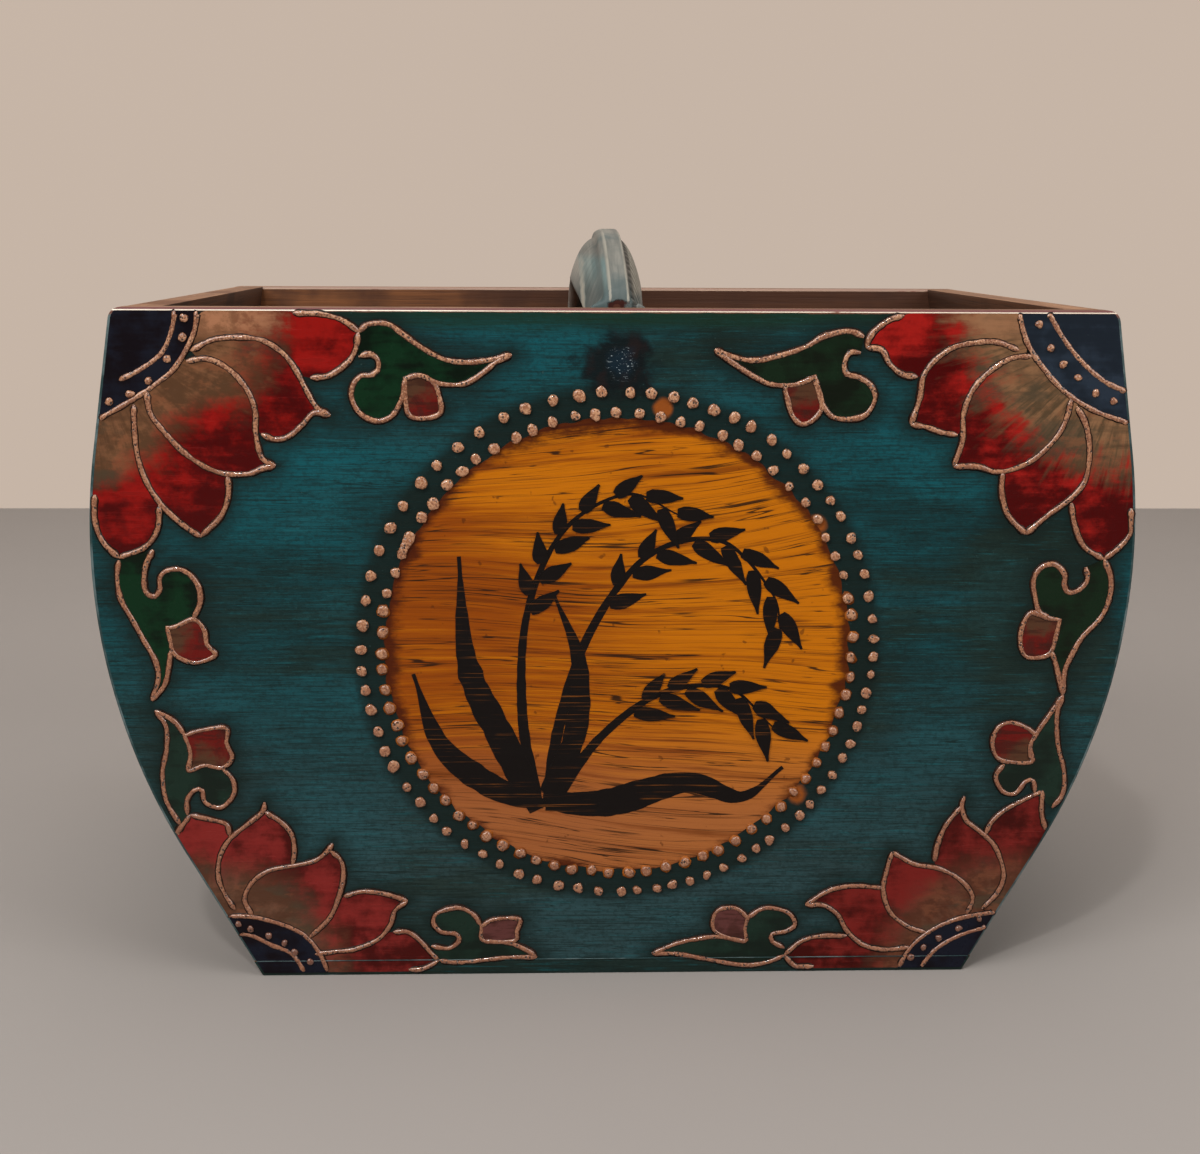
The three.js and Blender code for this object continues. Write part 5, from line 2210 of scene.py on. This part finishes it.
@dataclass
class Studio:
    """The floor, the wall, the lamps and the camera."""

    eye: tuple[float, float, float] = (-0.0294, -0.8108, 0.29)
    yaw: float = math.radians(1.94)
    pitch: float = math.radians(10.82)
    roll: float = math.radians(0.3)
    lens: float = 53.7
    sky: float = 0.3
    lamp_plan: tuple[tuple[tuple[float, float, float], float, float], ...] = (
        ((-1.2, -1.6, 1.6), 1.5, 34.5), ((1.5, -1.2, 1.2), 1.2, 14.0), ((0.1, 0.1, 2.2), 1.6, 16.0),
        ((-0.4, -1.4, 1.8), 0.1, 8.5), ((0.3, 2.0, 1.4), 1.4, 24.0))

    def build(self) -> None:
        """Sets everything up around the object."""
        self.ground()
        self.lamps()
        self.camera()

    def ground(self) -> None:
        """A pale floor and a plain wall behind."""
        clear_bench()
        bpy.ops.mesh.primitive_plane_add(size=8.0, location=(0, 0, 0))
        floor = fresh("floor")
        dress(floor, Ground("pale_floor", (0.352, 0.318, 0.294), (0.326, 0.296, 0.274)).make())
        clear_bench()
        bpy.ops.mesh.primitive_plane_add(size=8.0, location=(0, 1.1, 4.0), rotation=(math.pi / 2, 0, 0))
        wall = fresh("wall")
        dress(wall, Ground("plaster_wall", (0.572, 0.468, 0.39), (0.56, 0.456, 0.378), True).make())

    def lamps(self) -> None:
        """A soft sky, a large key lamp from the upper left and a weaker one from the right."""
        world = bpy.data.worlds.new("soft_room")
        bpy.context.scene.world = world
        world.use_nodes = True
        backdrop = world.node_tree.nodes["Background"]
        backdrop.inputs["Color"].default_value = (1.0, 0.97, 0.93, 1.0)
        backdrop.inputs["Strength"].default_value = self.sky
        for place, size, power in self.lamp_plan:
            clear_bench()
            aim = (Vector((0, 0, 0.13)) - Vector(place)).to_track_quat("-Z", "Y").to_euler()
            bpy.ops.object.light_add(type="AREA", location=place, rotation=aim)
            lamp = bpy.context.object.data
            lamp.size = size
            lamp.energy = power

    def camera(self) -> None:
        """The camera at the photograph's place."""
        clear_bench()
        bpy.ops.object.camera_add()
        eye = bpy.context.object
        ahead = Vector((math.sin(self.yaw), math.cos(self.yaw), 0))
        right = Vector((math.cos(self.yaw), -math.sin(self.yaw), 0))
        up = Vector((0, 0, 1))
        look = ahead * math.cos(self.pitch) - up * math.sin(self.pitch)
        top = up * math.cos(self.pitch) + ahead * math.sin(self.pitch)
        across = right * math.cos(self.roll) + top * math.sin(self.roll)
        above = top * math.cos(self.roll) - right * math.sin(self.roll)
        turn = Matrix((across, above, -look)).transposed().to_4x4()
        eye.matrix_world = Matrix.Translation(self.eye) @ turn
        eye.data.sensor_fit = "HORIZONTAL"
        eye.data.sensor_width = 36.0
        eye.data.lens = self.lens
        bpy.context.scene.camera = eye
        bpy.context.scene.view_settings.view_transform = "Standard"


def dress_fasteners() -> None:
    """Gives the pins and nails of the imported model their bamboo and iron."""
    bamboo, iron = Bamboo().make(), HandIron().make()
    for name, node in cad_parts.items():
        if "pin" in name or "nail" in name:
            node.data.materials.clear()
            dress(node, bamboo if "pin" in name else iron)


def main() -> None:
    """Builds and dresses every piece in order."""
    logging.basicConfig(level=logging.INFO, format="%(message)s")
    Studio().build()
    gesso = RaisedLine().make()
    dark_gesso = RaisedLine("dark_gesso", (0.2, 0.09, 0.055), (0.08, 0.032, 0.022)).make()
    edge = WornEdgeHighlight().make()
    # The back's arrises, with a dimmer painted highlight on the rim.
    back_edge = WornEdgeHighlight("worn_back_edge", rim_worn_highlight=(0.48, 0.32, 0.22), rim_dull_highlight=(0.38, 0.245, 0.17),
                         rim_top=(0.33, 0.2, 0.15)).make()
    wood = BareWood("bare_wood").make()
    long_wood = BareWood("bare_wood_lengthwise", (0.11, 0.04, 0.016), (0.028, 0.01, 0.005), True).make()
    rim = BareWood("rim_wood", light=(0.36, 0.2, 0.115), dark=(0.14, 0.058, 0.028)).make()
    long_rim = BareWood("rim_wood_lengthwise", (0.34, 0.18, 0.1), (0.13, 0.05, 0.024), True).make()
    plain_teal = TealLacquer("plain_teal_lacquer").make()

    roundel = Roundel()
    corners = [LotusCorner(name, strokes, fields, PETAL_GLAZES[name].make(), line_radius)
               for name, strokes, fields, line_radius in (
                   ("upper_left", UPPER_LEFT, UPPER_FIELDS, 1.0),
                   ("upper_right", UPPER_RIGHT, UPPER_FIELDS, 1.02),
                   ("lower_left", LOWER_LEFT, LOWER_FIELDS, 0.91),
                   ("lower_right", LOWER_RIGHT, LOWER_FIELDS, 0.91))]
    for end in End:
        board = EndBoard(end, cell=2.5 if end is End.FRONT else 10.0)
        board.build()
        if end is End.BACK:
            board.drill()
            board.store_shade([], None)
            board.dress(plain_teal, back_edge, wood, rim)
            fit(board.piece, "plain_lacquer", "back_board")
        else:
            drawn = [tuple(p) for corner in corners for run, _ in corner.lines() for p in run]
            board.store_shade(drawn, roundel)
            board.dress(TealLacquer(handle_stain=True).make(), edge, wood, rim)
            fit(board.piece, "decorated_lacquer", "front_board")
    for side in (-1, 1):
        StaveSide(side).build(plain_teal, long_wood, long_rim)
    # The base's lacquer, its low colour the painted sheen towards the foot.
    BaseBoard().build(TealLacquer("base_lacquer", (0.01, 0.03, 0.028), (0.009, 0.017, 0.014),
                                  low=(0.014, 0.027, 0.023)).make(), wood)
    handle = CarvedHandle().build()
    dress(handle, RubbedPaint().make())
    fit(handle, "handle_paint", "handle")

    leaf = PlainGlaze("leaf_glaze", (0.002, 0.007, 0.003), (0.003, 0.023, 0.008), (0.03, 0.06, 0.04)).make()
    right_leaf = PlainGlaze("right_leaf_glaze", (0.005, 0.008, 0.004), (0.006, 0.017, 0.007),
                            (0.03, 0.05, 0.035)).make()
    low_leaf = PlainGlaze("low_leaf_glaze", (0.007, 0.013, 0.009), (0.01, 0.024, 0.016),
                          (0.04, 0.06, 0.05)).make()
    bud = BudGlaze().make()
    # Dark glaze pooled by the lines, and their painted shadow.
    pool = PlainGlaze("pooled_glaze", (0.012, 0.006, 0.004), (0.024, 0.01, 0.006),
                      (0.05, 0.024, 0.014)).make()
    quarter = PlainGlaze("dark_glaze", (0.005, 0.003, 0.005), (0.007, 0.008, 0.015),
                         (0.05, 0.055, 0.065)).make()
    navy = PlainGlaze("navy_glaze", (0.011, 0.016, 0.024), (0.02, 0.03, 0.046), (0.07, 0.085, 0.1)).make()
    for corner in corners:
        low = corner.fields is LOWER_FIELDS
        right = corner.name == "upper_right"
        corner.build_fields(
            low_leaf if low else (right_leaf if right else leaf), bud, navy if right else quarter)
        corner.build_lines(gesso, pool)
        dots = [OUTLINE.inside(Vector(p), 3.4) for p in corner.strokes["quarter_dots"]]
        BeadRow(f"{corner.name}_beads", [(x, z, 1.3 if low else 1.5) for x, z in dots],
                seed=len(corner.name), height=0.9).build(dark_gesso if low else gesso)
    roundel.build_disc(GoldLacquer().make())
    roundel.build_beads(
        RaisedLine("bead_gesso", (0.54, 0.27, 0.14), (0.3, 0.112, 0.048)).make(),
        PlainGlaze("gold_size", (0.15, 0.036, 0.004), (0.33, 0.09, 0.01), (0.4, 0.15, 0.03)).make())
    roundel.build_ear(BrushInk().make())
    # The painted highlight along the seam at the foot.
    SeamHighlight().build(edge)
    dress_fasteners()


if __name__ == "__main__":
    main()
